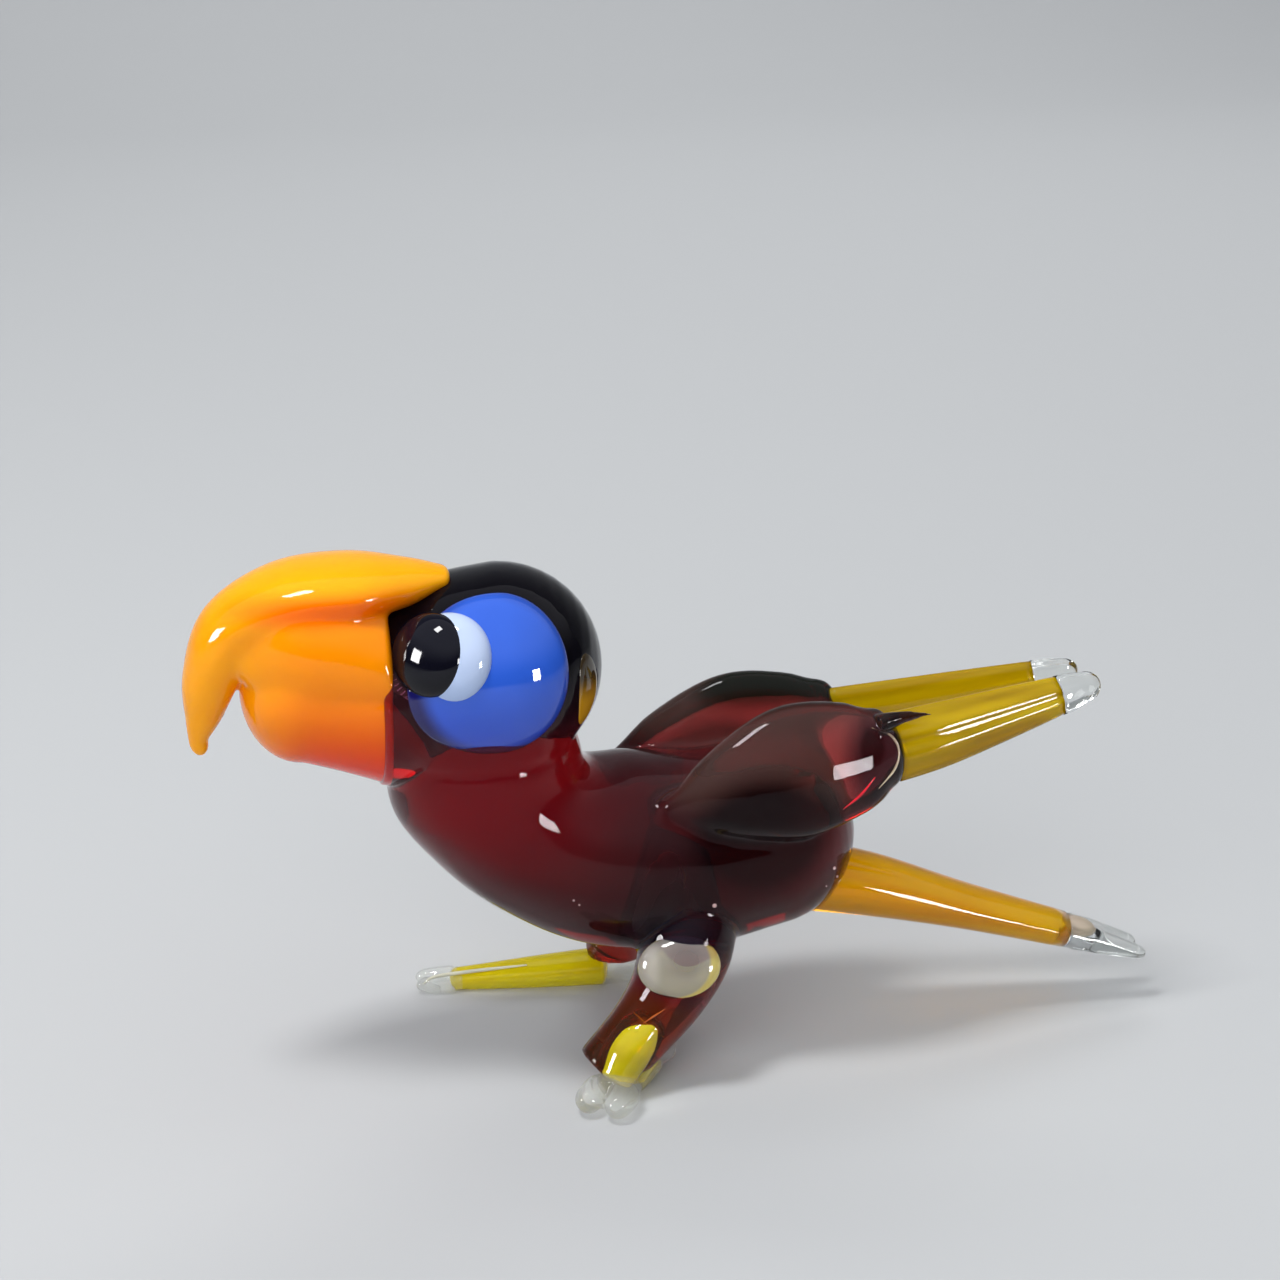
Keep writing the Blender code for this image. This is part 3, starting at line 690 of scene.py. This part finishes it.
def knee_bead(name, side, grow=0.0):
    """Clear bead that goes right through a leg, so that light passes behind it."""
    middle, way, level, radius = knee_seat(side)
    up = way.cross(level)
    across = np.array(level)
    rise = np.array(up)
    rings = [
        (
            np.array(middle + way * reach),
            across * (KNEE_HALF_WIDTH * share + grow),
            rise * (KNEE_HALF_HEIGHT * share + grow),
        )
        for reach, share in (
            (KNEE_BACK_SINK - radius, KNEE_BACK_SHARE),
            (0.0, (1 + KNEE_BACK_SHARE) / 2),
            (radius + KNEE_RISE - KNEE_DOME, 1.0),
        )
    ]
    return loft(name, rings, (KNEE_BACK_DOME, KNEE_DOME + grow))


def bored(thing, tool):
    """Takes a tool's shape out of a piece, and the tool out of the scene. Slivers at the
    hole's rim are cleared away."""
    cut = thing.modifiers.new("bore", "BOOLEAN")
    cut.operation = "DIFFERENCE"
    cut.solver = "MANIFOLD"
    cut.object = tool
    baked(thing)
    mesh = thing.data
    shape = bmesh.new()
    shape.from_mesh(mesh)
    bmesh.ops.remove_doubles(shape, verts=shape.verts, dist=SLIVER * MM)
    bmesh.ops.dissolve_degenerate(shape, edges=shape.edges, dist=SLIVER * MM)
    bmesh.ops.triangulate(shape, faces=[face for face in shape.faces if len(face.verts) > 4])
    shape.to_mesh(mesh)
    shape.free()
    mesh.shade_smooth()
    mesh.set_sharp_from_angle(angle=math.radians(SHARP_EDGE))
    bpy.data.objects.remove(tool, do_unlink=True)


for side in SIDE:
    bored(ruby_skin, knee_bead(f"knee_bore_{side}", side, -KNEE_OVERLAP))
ankle_rings = limb_rings(ANKLE_CORE, "left")
bored(ruby_skin, loft("ankle_bore", ankle_rings, ANKLE_CORE_DOMES, LIMB_SIDES))
pressed_flat(ruby_skin, ANKLE["left"], ANKLE["right"])
ruby_skin.data.materials.clear()
ruby_skin.data.materials.append(ruby_glass)
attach(ruby_skin, "root")
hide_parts("body", "head", "wing_left", "wing_right", "leg_left", "leg_right")

# The beak: an orange ball pressed on the head's flat face and a yellow horn laid over it
# and drawn down into the hook. Both are opaque glass with a fire polish, and they run
# together in front, so that only a soft crease shows between them.
BEAK_BASE = -16.3
BEAK_MIDDLE = 20.75
BEAK_MELT = (0.10, 14)
LOWER_ROWS = ((-0.3, 0.00, 4.45), (2.0, 0.50, 4.10), (4.0, 0.80, 3.75))
LOWER_WIDTH = 0.96
LOWER_NOSE = 3.0
UPPER_ROWS = (
    (-3.40, 6.30, 0.55, 1.20, 72),
    (-1.60, 6.15, 1.15, 2.20, 84),
    (1.20, 6.15, 1.55, 3.40, 92),
    (4.50, 5.85, 1.60, 3.20, 113),
    (7.20, 4.25, 1.70, 2.50, 143),
    (8.35, 1.75, 1.45, 1.80, 170),
    (8.80, -0.35, 0.95, 1.10, 184),
    (9.15, -1.60, 0.50, 0.55, 190),
)
UPPER_TIPS = (0.4, 0.8)
FILLED_ROWS = (
    (-0.30, 2.15, 3.65, 4.20, 90),
    (2.00, 2.85, 4.00, 4.12, 92),
    (4.30, 3.00, 4.00, 3.75, 103),
    (6.30, 2.45, 2.55, 2.60, 120),
)
FILLED_TIPS = (0.2, 0.9)
CREASE_PLACE = (-20.6, 3.4, 24.6)
CREASE_RADII = (4.4, 2.6, 2.5)
CREASE_PASSES = 180
BEAK_START = linear(228, 44, 0)
BEAK_RUNS = (
    ("Z", 17.2, 24.2, linear(255, 146, 0)),
    ("X", -19.5, -25.5, linear(255, 168, 6)),
    ("Z", 25.2, 27.5, linear(255, 176, 6)),
)
# Painted shade: a deeper orange band along the horn's underside, above the crease.
HORN_UNDERSIDE_SHADE = ((-18.6, 3.0, 26.6), (4.4, 2.6, 0.75), 0.7)
HORN_UNDERSIDE_SHADE_COLOUR = linear(255, 112, 0)
BEAK_SHADE = (0.93, 0.88, 0.8, 1.0)
WHITE = (1.0, 1.0, 1.0, 1.0)


def beak_rings(rows):
    """Rings of the beak, from reach, rise, half height, half width and angle."""
    return middle_rings(
        [(BEAK_BASE - reach, BEAK_MIDDLE + rise, *more) for reach, rise, *more in rows]
    )


beak = bmesh.new()
lower = [(reach, rise, size, size * LOWER_WIDTH, 90) for reach, rise, size in LOWER_ROWS]
skin(beak, beak_rings(lower), (0.0, LOWER_NOSE))
skin(beak, beak_rings(UPPER_ROWS), UPPER_TIPS)
skin(beak, beak_rings(FILLED_ROWS), FILLED_TIPS)
beak_piece = melted("beak", beak, *BEAK_MELT)
softened(beak_piece, CREASE_PLACE, CREASE_RADII, CREASE_PASSES)


def fired_glass(name, coat, mirror=0.5, wave_height=0.05, haze=(0.03, 0.10)):
    """Opaque glass: its colour sits under a thin clear skin. Returns it and its shader."""
    material, shader = new_material(
        name, Coat_Weight=coat, Coat_Roughness=0.03, IOR=1.5, Specular_IOR_Level=mirror
    )
    finish(material, shader, WAVE_SCALE, wave_height, haze)
    return material, shader


def along_axis(tree, axis, low, high):
    """Mask that runs from 0 to 1 between two places on an axis, in millimetres."""
    place = node(tree, "ShaderNodeTexCoord")
    split = node(tree, "ShaderNodeSeparateXYZ")
    spread = soft_range(tree, {"From Min": low * MM, "From Max": high * MM})
    tree.links.new(place.outputs["Object"], split.inputs["Vector"])
    tree.links.new(split.outputs[axis], spread.inputs["Value"])
    return spread.outputs["Result"]


beak_glass, beak_shader = fired_glass("beak_glass", coat=0.0, mirror=0.3)
tree = beak_glass.node_tree
beak_colour = BEAK_START
for axis, low, high, colour in BEAK_RUNS:
    beak_colour = blend_colours(tree, along_axis(tree, axis, low, high), beak_colour, colour)
# Painted shade under the horn.
horn_shade = zone_mask(beak_glass, *HORN_UNDERSIDE_SHADE)
beak_colour = blend_colours(tree, horn_shade, beak_colour, HORN_UNDERSIDE_SHADE_COLOUR)
veil = place_group(beak_glass, rod_streaks, Fineness=420.0, Length=0.35, Sharpness=0.4)
shade = blend_colours(tree, veil.outputs["Mask"], WHITE, BEAK_SHADE)
beak_colour = blend_colours(tree, 1.0, beak_colour, shade, "MULTIPLY")
tree.links.new(beak_colour, beak_shader.inputs["Base Color"])
beak_shader.inputs["Subsurface Weight"].default_value = 0.15
beak_shader.inputs["Subsurface Radius"].default_value = (1.0, 0.45, 0.1)
beak_shader.inputs["Subsurface Scale"].default_value = 0.0012
beak_piece.data.materials.append(beak_glass)
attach(beak_piece, "root")
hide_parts("upper_beak", "lower_beak")

# The eyes: on each side of the head a large blue dot, on it a bluish white dot and at
# the front of that a black one. Each is a drop of opaque glass, pressed on while soft,
# so that it stands as a low round dome with a rolled edge.
HEAD_MIDDLE = Vector((-10.1, 0.0, 22.1))
HEAD_REACH_STEPS = 24
EYE_LOWERED = {"left": 0, "right": 12}
PATCH_TURN = (9, 14)
PATCH_SPANS = (41, 48)
PATCH_RISE = 0.55
PATCH_DEPTH = 0.15
PATCH_RINGS = 28
PATCH_SPOKES = 72
PATCH_RIM = ((-10.9, 5.3, 23.2), (3.7, 9.0, 4.0), 0.13, linear(18, 16, 84))
RIM_WELD = 0.0005
VEIL_DARK = 0.82
VEIL_STRENGTH = 0.4
EYE_DROPS = {
    "left": (
        ("eye_white", (37, 21), 2.32, 5.511, 1.368),
        ("pupil", (45, 21), 2.15, 6.114, 1.214),
    ),
    "right": (
        ("eye_white", (36, 22), 2.40, 5.616, 1.295),
        ("pupil", (45, 21), 2.15, 6.277, 1.083),
    ),
}


def eye_way(turn, side):
    """Unit vector for a turn forward and a lift in degrees, on one side of the head."""
    forward = math.radians(turn[0])
    lift = math.radians(turn[1] - EYE_LOWERED[side])
    return Vector(
        (
            -math.sin(forward) * math.cos(lift),
            SIDE[side] * math.cos(forward) * math.cos(lift),
            math.sin(lift),
        )
    )


def head_reach(ways):
    """Distances from the middle of the head ball to the head's skin, for many ways."""
    x, z, radius, _, _ = drawn(HEAD_ROWS).T
    low = np.zeros(len(ways))
    high = np.full(len(ways), HEAD_MIDDLE.x - x[0] + HEAD_BACK)
    for _ in range(HEAD_REACH_STEPS):
        reach = (low + high) / 2
        places = np.array(HEAD_MIDDLE) + ways * reach[:, None]
        across = np.hypot(places[:, 1], places[:, 2] - np.interp(places[:, 0], x, z))
        inside = across < np.interp(places[:, 0], x, radius, left=0.0)
        inside = np.where(places[:, 0] > x[-1], reach < HEAD_BACK, inside)
        low = np.where(inside, reach, low)
        high = np.where(inside, high, reach)
    return low


def head_lens(name, axis, spans, rise):
    """Lens of glass that follows the head's skin and has a rolled edge, from its middle
    way, its half spans in degrees along and up, and its height."""
    axis = Vector(axis).normalized()
    level = Vector((1, 0, 0))
    level = (level - axis * level.dot(axis)).normalized()
    up = axis.cross(level)
    ways = [np.array(axis)]
    rises = [rise]
    for ring in range(1, PATCH_RINGS + 1):
        share = math.sin(math.pi / 2 * ring / PATCH_RINGS)
        for spoke in range(PATCH_SPOKES):
            turn = 2 * math.pi * spoke / PATCH_SPOKES
            sideways = level * math.cos(turn) + up * math.sin(turn)
            reach = math.hypot(math.cos(turn) / spans[0], math.sin(turn) / spans[1])
            lean = math.radians(share / reach)
            ways.append(np.array(axis * math.cos(lean) + sideways * math.sin(lean)))
            rises.append(rise * math.sqrt(1 - share**2))
    ways = np.array(ways)
    rises = np.array(rises)
    skin_reach = head_reach(ways)
    under = np.minimum(rises, PATCH_DEPTH)
    shape = bmesh.new()
    sheets = []
    for reaches in (skin_reach + rises, skin_reach - under):
        places = (np.array(HEAD_MIDDLE) + ways * reaches[:, None]) * MM
        sheets.append([shape.verts.new(place) for place in places])
    for sheet in sheets:
        rings = [
            sheet[1 + ring * PATCH_SPOKES : 1 + (ring + 1) * PATCH_SPOKES]
            for ring in range(PATCH_RINGS)
        ]
        for spoke in range(PATCH_SPOKES):
            after = (spoke + 1) % PATCH_SPOKES
            shape.faces.new((sheet[0], rings[0][spoke], rings[0][after]))
            for inner, outer in zip(rings, rings[1:]):
                shape.faces.new((inner[spoke], outer[spoke], outer[after], inner[after]))
    bmesh.ops.remove_doubles(shape, verts=shape.verts, dist=RIM_WELD * MM)
    bmesh.ops.recalc_face_normals(shape, faces=shape.faces)
    return made_piece(name, shape)


def drop(name, middle, way, level, radii):
    """Round drop of glass with its third radius along way and its first along level."""
    way = Vector(way).normalized()
    level = Vector(level)
    level = (level - way * level.dot(way)).normalized()
    turn = Matrix((level, way.cross(level), way)).transposed()
    shape = bmesh.new()
    bmesh.ops.create_uvsphere(shape, u_segments=64, v_segments=40, radius=1)
    bmesh.ops.scale(shape, verts=shape.verts, vec=Vector(radii) * MM)
    bmesh.ops.rotate(shape, verts=shape.verts, matrix=turn)
    bmesh.ops.translate(shape, verts=shape.verts, vec=Vector(middle) * MM)
    return made_piece(name, shape)


def pressed_on_head(thing):
    """Brings the underside of a drop up to just below the head's skin."""
    away = points_of(thing) / MM - np.array(HEAD_MIDDLE)
    reach = np.linalg.norm(away, axis=1)
    ways = away / reach[:, None]
    reach = np.maximum(reach, head_reach(ways) - PATCH_DEPTH)
    move_points(thing, (np.array(HEAD_MIDDLE) + ways * reach[:, None]) * MM)


def dot_glass(name, inner, outer, low, high, coat=0.3, mirror=0.5, rim=None):
    """Opaque dot glass whose colour runs from inner to outer between two heights, with a
    rim of its own outside a rounded zone, given as centre, radii, softness and colour."""
    material, shader = fired_glass(name, coat, mirror, wave_height=0.02, haze=(0.02, 0.07))
    tree = material.node_tree
    colour = blend_colours(tree, along_axis(tree, "Z", low, high), inner, outer)
    veil = place_group(material, rod_streaks, Fineness=350.0, Length=0.8, Sharpness=0.45)
    share = node(tree, "ShaderNodeMath", {1: VEIL_STRENGTH}, operation="MULTIPLY")
    tree.links.new(veil.outputs["Mask"], share.inputs[0])
    darker = tuple(part * VEIL_DARK for part in outer[:3]) + (1.0,)
    colour = blend_colours(tree, share.outputs["Value"], colour, darker)
    if rim:
        *zone, tint = rim
        colour = blend_colours(tree, zone_mask(material, *zone), tint, colour)
    tree.links.new(colour, shader.inputs["Base Color"])
    return material


eye_glasses = {
    "eye_patch": dot_glass(
        "blue_glass", linear(34, 62, 188), linear(44, 94, 208), 17.5, 25.0, rim=PATCH_RIM
    ),
    "eye_white": dot_glass(
        "white_glass", linear(160, 184, 226), linear(190, 206, 236), 22.0, 25.0
    ),
    "pupil": dot_glass(
        "black_glass", linear(4, 4, 10), linear(12, 12, 24), 22.0, 26.0, coat=0.0, mirror=0.3
    ),
}
for side in SIDE:
    patch_way = eye_way(PATCH_TURN, side)
    patch = head_lens(f"eye_patch_dot_{side}", patch_way, PATCH_SPANS, PATCH_RISE)
    eye_pieces = {"eye_patch": patch}
    for kind, turn, radius, inset, height in EYE_DROPS[side]:
        way = eye_way(turn, side)
        middle = HEAD_MIDDLE + way * inset
        eye = drop(f"{kind}_dot_{side}", middle, way, (1, 0, 0), (radius, radius, height))
        pressed_on_head(eye)
        eye_pieces[kind] = eye
    for kind, eye in eye_pieces.items():
        eye.data.materials.append(eye_glasses[kind])
        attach(eye, "root")
        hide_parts(f"{kind}_{side}")

# The flight feathers: a yellow blade drawn out of each wing, with grooves along it, and
# a clear bead melted on its end. The blade's root is sunk in the ruby.
BLADE_ROWS = (
    (8.8, 3.2, 16.9, 1.90, 0.80),
    (12.6, 2.7, 17.4, 1.75, 0.80),
    (16.5, 2.1, 18.1, 1.40, 0.75),
    (19.7, 1.6, 18.7, 1.05, 0.65),
)
BLADE_END_SHIFT = 0.25
BLADE_ROOT = 1.0
BLADE_GROOVES = 3
BLADE_GROOVE_DEPTH = 0.05
BEAD_ROWS = ((0.02, 1.05, 1.02), (0.75, 1.0, 0.96), (1.5, 0.8, 0.8))
BEAD_DOME = 1.0
BLADE_SIDES = 96
CLEAR_ABSORB = (0.9, 0.95, 0.92, 1.0)

yellow_glass = clear_glass(
    "yellow_glass",
    pale=linear(238, 206, 8),
    deep=linear(172, 138, 4),
    absorb=(0.985, 0.93, 0.02, 1.0),
    density=1600.0,
    streaks={"Fineness": 560.0, "Length": 0.05, "Sharpness": 0.22, "Tilt": (0, 0.17, 0)},
    wave_scale=200.0,
    wave_height=0.03,
    transmission=0.5,
    mirror=(0.6, 0.6, 0.6, 1.0),
)
bead_glass = clear_glass(
    "bead_glass",
    pale=(0.97, 0.98, 0.97, 1.0),
    deep=(0.88, 0.90, 0.88, 1.0),
    absorb=CLEAR_ABSORB,
    density=60.0,
    streaks={"Fineness": 1500.0, "Length": 0.1, "Sharpness": 0.15},
)


def blade_groove(height):
    """Width of the blade at a height from -1 to 1, with its grooves."""
    return 1 - BLADE_GROOVE_DEPTH * (1 - math.cos(math.pi * BLADE_GROOVES * (height + 1)))


def carried_on(rings, rows):
    """Rings past the end of a limb, from reach in millimetres, width and height shares."""
    end, across, rise = rings[-1]
    way = end - rings[-2][0]
    way = way / np.linalg.norm(way)
    return [
        (end + way * reach, across * width, rise * height)
        for reach, width, height in drawn(rows, steps=4)
    ]


for side, (forward, up) in WING_SHIFT.items():
    fades = np.linspace(1, BLADE_END_SHIFT, len(BLADE_ROWS))
    rows = [
        (x + forward * fade, out, z + up * fade, *more)
        for (x, out, z, *more), fade in zip(BLADE_ROWS, fades)
    ]
    rings = limb_rings(rows, side, WING_LEAN)
    root = rows[0][0] + BLADE_ROOT
    rings = [ring for ring in rings if ring[0][0] > root]
    blade = loft(f"feather_blade_{side}", rings, sides=BLADE_SIDES, groove=blade_groove)
    blade.data.materials.append(yellow_glass)
    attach(blade, "root")
    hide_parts(f"feathers_{side}")
    bead = loft(f"feather_bead_{side}", carried_on(rings, BEAD_ROWS), (0.0, BEAD_DOME))
    bead.data.materials.append(bead_glass)
    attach(bead, "root")
    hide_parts(f"feather_tip_{side}")

# The tail: an amber limb drawn out of the rump, and a clear end that was cut with shears
# while hot, so that its two prongs spread a little.
TAIL_ROWS = (
    (6.5, 8.9, 1.90, 2.20, 75),
    (10.4, 7.9, 1.65, 2.10, 73),
    (15.5, 6.2, 1.20, 1.80, 71),
    (21.1, 4.3, 0.95, 1.40, 70),
)
FORK_BASE = ((0.02, 1.0, 0.98), (1.4, 1.0, 0.85))
PRONG_ROWS = ((0.6, 0.52, 0.85), (2.4, 0.48, 0.68), (4.3, 0.36, 0.42))
PRONG_SPREAD = (0.44, 0.58)
PRONG_DOME = 0.7
PRONG_SIDES = 40
FORK_MELT = (0.07, 8)

amber_glass = clear_glass(
    "amber_glass",
    pale=linear(255, 214, 20),
    deep=linear(246, 178, 8),
    absorb=(0.99, 0.93, 0.02, 1.0),
    density=1000.0,
    transmission=0.8,
    mirror=(0.6, 0.6, 0.6, 1.0),
    streaks={"Fineness": 900.0, "Length": 0.06, "Sharpness": 0.2, "Tilt": (0, -0.33, 0)},
    wave_scale=320.0,
)


def prongs(shape, rings, rows, spread, dome):
    """Adds the two halves of a split end, from rows as in carried_on."""
    end, across, rise = rings[-1]
    reaches = carried_on(rings, rows)
    shares = np.linspace(*spread, len(reaches))
    for sign in (-1, 1):
        half = [
            (centre + across * sign * share, wide, high)
            for (centre, wide, high), share in zip(reaches, shares)
        ]
        skin(shape, half, (0.0, dome), PRONG_SIDES)


tail_rings = middle_rings(TAIL_ROWS)
tail = loft("tail_limb", tail_rings)
tail.data.materials.append(amber_glass)
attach(tail, "root")
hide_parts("tail")
fork = bmesh.new()
skin(fork, carried_on(tail_rings, FORK_BASE), sides=LIMB_SIDES)
prongs(fork, tail_rings, PRONG_ROWS, PRONG_SPREAD, PRONG_DOME)
tail_fork = melted("tail_fork", fork, *FORK_MELT)
tail_fork.data.materials.append(bead_glass)
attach(tail_fork, "root")
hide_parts("tail_tip")

# The knees: a clear bead melted into each leg. Light comes straight through it, and only
# a thin rim of ruby is left behind it. The bead is a little milky, and along its rear edge
# the yellow of the foot's core shows as a pale crescent.
CRESCENT_SHIFT = (-0.55, 0.35)
# Tints in the bead: shift along the leg's level way, radii, softness and colour.
KNEE_ZONES = (
    (0.0, (2.15, 9.0, 1.9), 0.06, linear(182, 178, 172)),
    (-0.9, (0.35, 9.0, 1.2), 0.8, linear(216, 212, 210)),
    (0.9, (0.9, 9.0, 0.7), 0.7, linear(150, 146, 142)),
)

for side in SIDE:
    middle, way, level, radius = knee_seat(side)
    window = middle + way * radius + level * CRESCENT_SHIFT[0]
    window = Vector((window.x, abs(window.y), window.z + CRESCENT_SHIFT[1]))
    knee_glass = clear_glass(
        f"knee_glass_{side}",
        pale=linear(250, 236, 150),
        deep=linear(240, 214, 96),
        absorb=CLEAR_ABSORB,
        density=40.0,
        ior=1.12,
        transmission=0.6,
        streaks={"Fineness": 500.0, "Length": 0.6, "Sharpness": 0.3},
        zones=[(window + level * shift, *zone) for shift, *zone in KNEE_ZONES],
        coat=1.0,
    )
    knee = knee_bead(f"knee_lens_{side}", side)
    knee.data.materials.append(knee_glass)
    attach(knee, "root")
    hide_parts(f"knee_{side}")

# The feet: a yellow tongue with two short clear toes in front and a round clear spur
# behind. The left one rises into the ankle, where it shows through an opening in the ruby.
FOOT_PLACES = {
    "left": ((-2.0, 3.0), (-3.4, 3.8), (-5.4, 6.8)),
    "right": ((-1.2, 7.5), (-3.4, 7.7), (-11.3, 8.4)),
}
FOOT_HEIGHT = 0.85
FOOT_HALF_WIDTH = 1.25
FOOT_HALF_HEIGHT = 1.05
FOOT_TAPER = 0.9
TOE_ROWS = ((-0.2, 1.15, 1.0), (0.9, 1.25, 0.92))
TOE_PRONGS = ((0.3, 0.75, 0.9), (0.9, 0.75, 0.88), (1.5, 0.66, 0.8))
TOE_SPREAD = (0.6, 0.72)
TOE_DOME = 0.9
SPUR_RADIUS = {"left": 0.85, "right": 1.15}
SPUR_TAPER = 0.8
SPUR_DOME = 0.7
CORE_DOMES = (0.5, 0.5)
CORE_SHARE = {"left": 0.78, "right": 1.0}
CORE_TOE = {"left": 0.35, "right": 1.0}
TOE_END_SHARE = {"left": 1.0, "right": 0.66}
TOE_BASE_DOMES = (0.0, 0.2)
CASING_DOMES = (0.6, 0.3)
TONGUE_MELT = (0.07, 6)
CASING_MELT = (0.08, 6)

foot_core_glass = clear_glass(
    "foot_core_glass",
    pale=linear(250, 236, 30),
    deep=linear(226, 204, 16),
    absorb=(0.997, 0.98, 0.02, 1.0),
    density=700.0,
    ior=1.1,
    transmission=0.5,
    streaks={"Fineness": 600.0, "Length": 0.3, "Sharpness": 0.3},
    coat=1.0,
)
foot_casing_glass = clear_glass(
    "foot_casing_glass",
    pale=linear(250, 251, 248),
    deep=linear(232, 235, 230),
    absorb=CLEAR_ABSORB,
    density=40.0,
    ior=1.2,
    transmission=0.82,
    streaks={"Fineness": 1200.0, "Length": 0.2, "Sharpness": 0.25},
    coat=1.0,
    alpha=0.55,
)
for side, places in FOOT_PLACES.items():
    spur_end, heel, toe = (np.array([x, out, FOOT_HEIGHT]) for x, out in places)
    sizes = (FOOT_HALF_HEIGHT, FOOT_HALF_WIDTH)
    rows = [
        (*heel, *sizes),
        (*((heel + toe) / 2), *sizes),
        (*toe, *(size * FOOT_TAPER for size in sizes)),
    ]
    rings = limb_rings(rows, side)
    shares = np.linspace(1, TOE_END_SHARE[side], len(rings))
    rings = [
        (centre - rise * (1 - share), across * share, rise * share)
        for (centre, across, rise), share in zip(rings, shares)
    ]
    core_rings = [
        (centre, across * CORE_SHARE[side], rise * CORE_SHARE[side])
        for centre, across, rise in rings[: 1 + round(CORE_TOE[side] * (len(rings) - 1))]
    ]
    tongue = bmesh.new()
    skin(tongue, core_rings, CORE_DOMES, LIMB_SIDES)
    if side == "left":
        skin(tongue, limb_rings(ANKLE_CORE, side), ANKLE_CORE_DOMES, LIMB_SIDES)
    core = melted(f"foot_tongue_{side}", tongue, *TONGUE_MELT)
    pressed_flat(core, 0.0, 0.0)
    core.data.materials.append(foot_core_glass)
    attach(core, "root")
    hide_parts(f"foot_{side}")
    casing = bmesh.new()
    if side == "left":
        skin(casing, rings, CASING_DOMES, LIMB_SIDES)
    skin(casing, carried_on(rings, TOE_ROWS), TOE_BASE_DOMES, LIMB_SIDES)
    prongs(casing, rings, TOE_PRONGS, TOE_SPREAD, TOE_DOME)
    radius = SPUR_RADIUS[side]
    rows = [(*heel, radius), (*spur_end, radius * SPUR_TAPER)]
    skin(casing, limb_rings(rows, side), (0.0, SPUR_DOME), LIMB_SIDES)
    case = melted(f"foot_casing_{side}", casing, *CASING_MELT)
    pressed_flat(case, 0.0, 0.0)
    case.data.materials.append(foot_casing_glass)
    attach(case, "root")
    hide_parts(f"toes_{side}", f"spur_{side}")

# Small things in the glass: a cream thread round the wing's rear rim and a white one on the
# right foot, both painted highlights; a red and an orange line left by the rods; pale dots
# that are painted glints; amber behind the blue patch, partly painted light; a cream cloud in
# the fork. All lie at the skin or just under it.
THREADS = (
    # Painted highlight: the first thread is a cream line round the wing's rear rim, where
    # light catches the edge.
    ("seam", ((8.7, 18.7), (9.7, 18.2), (10.1, 17.4), (9.8, 16.5), (8.9, 15.7)), 0.07),
    ("red", ((6.9, 14.9), (7.8, 15.5), (8.6, 16.3)), 0.08),
    ("orange", ((-2.75, 4.9), (-3.3, 4.55), (-3.8, 4.2)), 0.06),
)
# Painted highlight: a white thread along the top of the right foot, where light glints on the
# clear casing.
FOOT_GLINT = (
    (-13.3, 8.05, 0.55, 0.04),
    (-12.9, 7.95, 0.90, 0.09),
    (-12.2, 7.85, 1.08, 0.10),
    (-10.0, 7.75, 1.22, 0.10),
    (-7.6, 7.40, 1.44, 0.04),
)
THREAD_DOMES = (0.05, 0.05)
THREAD_SIDES = 16
THREAD_DARK = 0.6
THREAD_COLOURS = {
    "seam": linear(196, 170, 140),
    "red": linear(230, 22, 44),
    "orange": linear(176, 84, 20),
    "white": linear(240, 238, 214),
}
# Painted glints: pale opaque dots, the first three where bubbles catch the light by the tail
# root, the other three painted highlights low on the body.
GLINT_DOTS = (
    (6.9, 10.9, 0.10),
    (7.2, 10.2, 0.07),
    (6.5, 9.9, 0.05),
    (0.2, 9.9, 0.12),
    (-7.2, 10.9, 0.06),
    (-6.9, 10.6, 0.05),
)
AMBER_SPOT = ((3.94, -3.2, -0.5), (10, 22), 0.08)
CLOUD = ((21.9, -0.30, 4.50), (1, 0, -0.3), (0, 1, 0), (0.80, 0.55, 1.1))
CAST_FROM = -30


def on_skin(x, z):
    """Place on the ruby's left side at x and z."""
    start = Vector((x, CAST_FROM, z)) * MM
    _, place, _, _ = ruby_skin.ray_cast(start, Vector((0, 1, 0)))
    return place / MM


bpy.context.view_layer.update()
threads = []
for kind, places, radius in THREADS:
    rows = []
    for number, (x, z) in enumerate(places):
        place = on_skin(x, z)
        thick = radius if 0 < number < len(places) - 1 else radius / 3
        rows.append((place.x, -place.y, place.z, thick))
    threads.append((kind, rows, "left", "ruby_glass"))
# The white thread on the right foot is a painted highlight.
threads.append(("white", FOOT_GLINT, "right", "yellow_glass"))
for kind, rows, side, slot in threads:
    thread = loft(f"thread_{kind}", limb_rings(rows, side), THREAD_DOMES, THREAD_SIDES)
    thread_glass, shader = fired_glass(f"thread_glass_{kind}", coat=0.3)
    tree = thread_glass.node_tree
    veil = place_group(thread_glass, rod_streaks, Fineness=900.0, Length=0.5)
    pale = THREAD_COLOURS[kind]
    dark = tuple(part * THREAD_DARK for part in pale[:3]) + (1.0,)
    colour = blend_colours(tree, veil.outputs["Mask"], pale, dark)
    tree.links.new(colour, shader.inputs["Base Color"])
    thread.data.materials.append(thread_glass)
    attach(thread, "root")
# Milky glass for the cream cloud and for the painted glint dots.
milk_and_glint_glass = dot_glass("milk_and_glint_glass", linear(200, 190, 160), linear(206, 170, 170), 3.0, 11.0)
for number, (x, z, radius) in enumerate(GLINT_DOTS):
    glint_dot = drop(f"bubble_{number}", on_skin(x, z), (0, 1, 0), (1, 0, 0), (radius,) * 3)
    glint_dot.data.materials.append(milk_and_glint_glass)
    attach(glint_dot, "root")
# The amber is the glass's own; its bright yellow lower part is painted light of the lit ground
# seen through it, fading to dark brown above.
amber_spot = head_lens("amber_spot", *AMBER_SPOT)
amber_spot.data.materials.append(
    dot_glass("amber_spot_glass", linear(236, 170, 28), linear(58, 46, 26), 20.8, 22.6)
)
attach(amber_spot, "root")
cloud = drop("fork_cloud", *CLOUD)
cloud.data.materials.append(milk_and_glint_glass)
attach(cloud, "root")

sizes = {
    "cad": [list(corner) for corner in cad_box],
    "visual": [list(corner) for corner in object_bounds()],
}
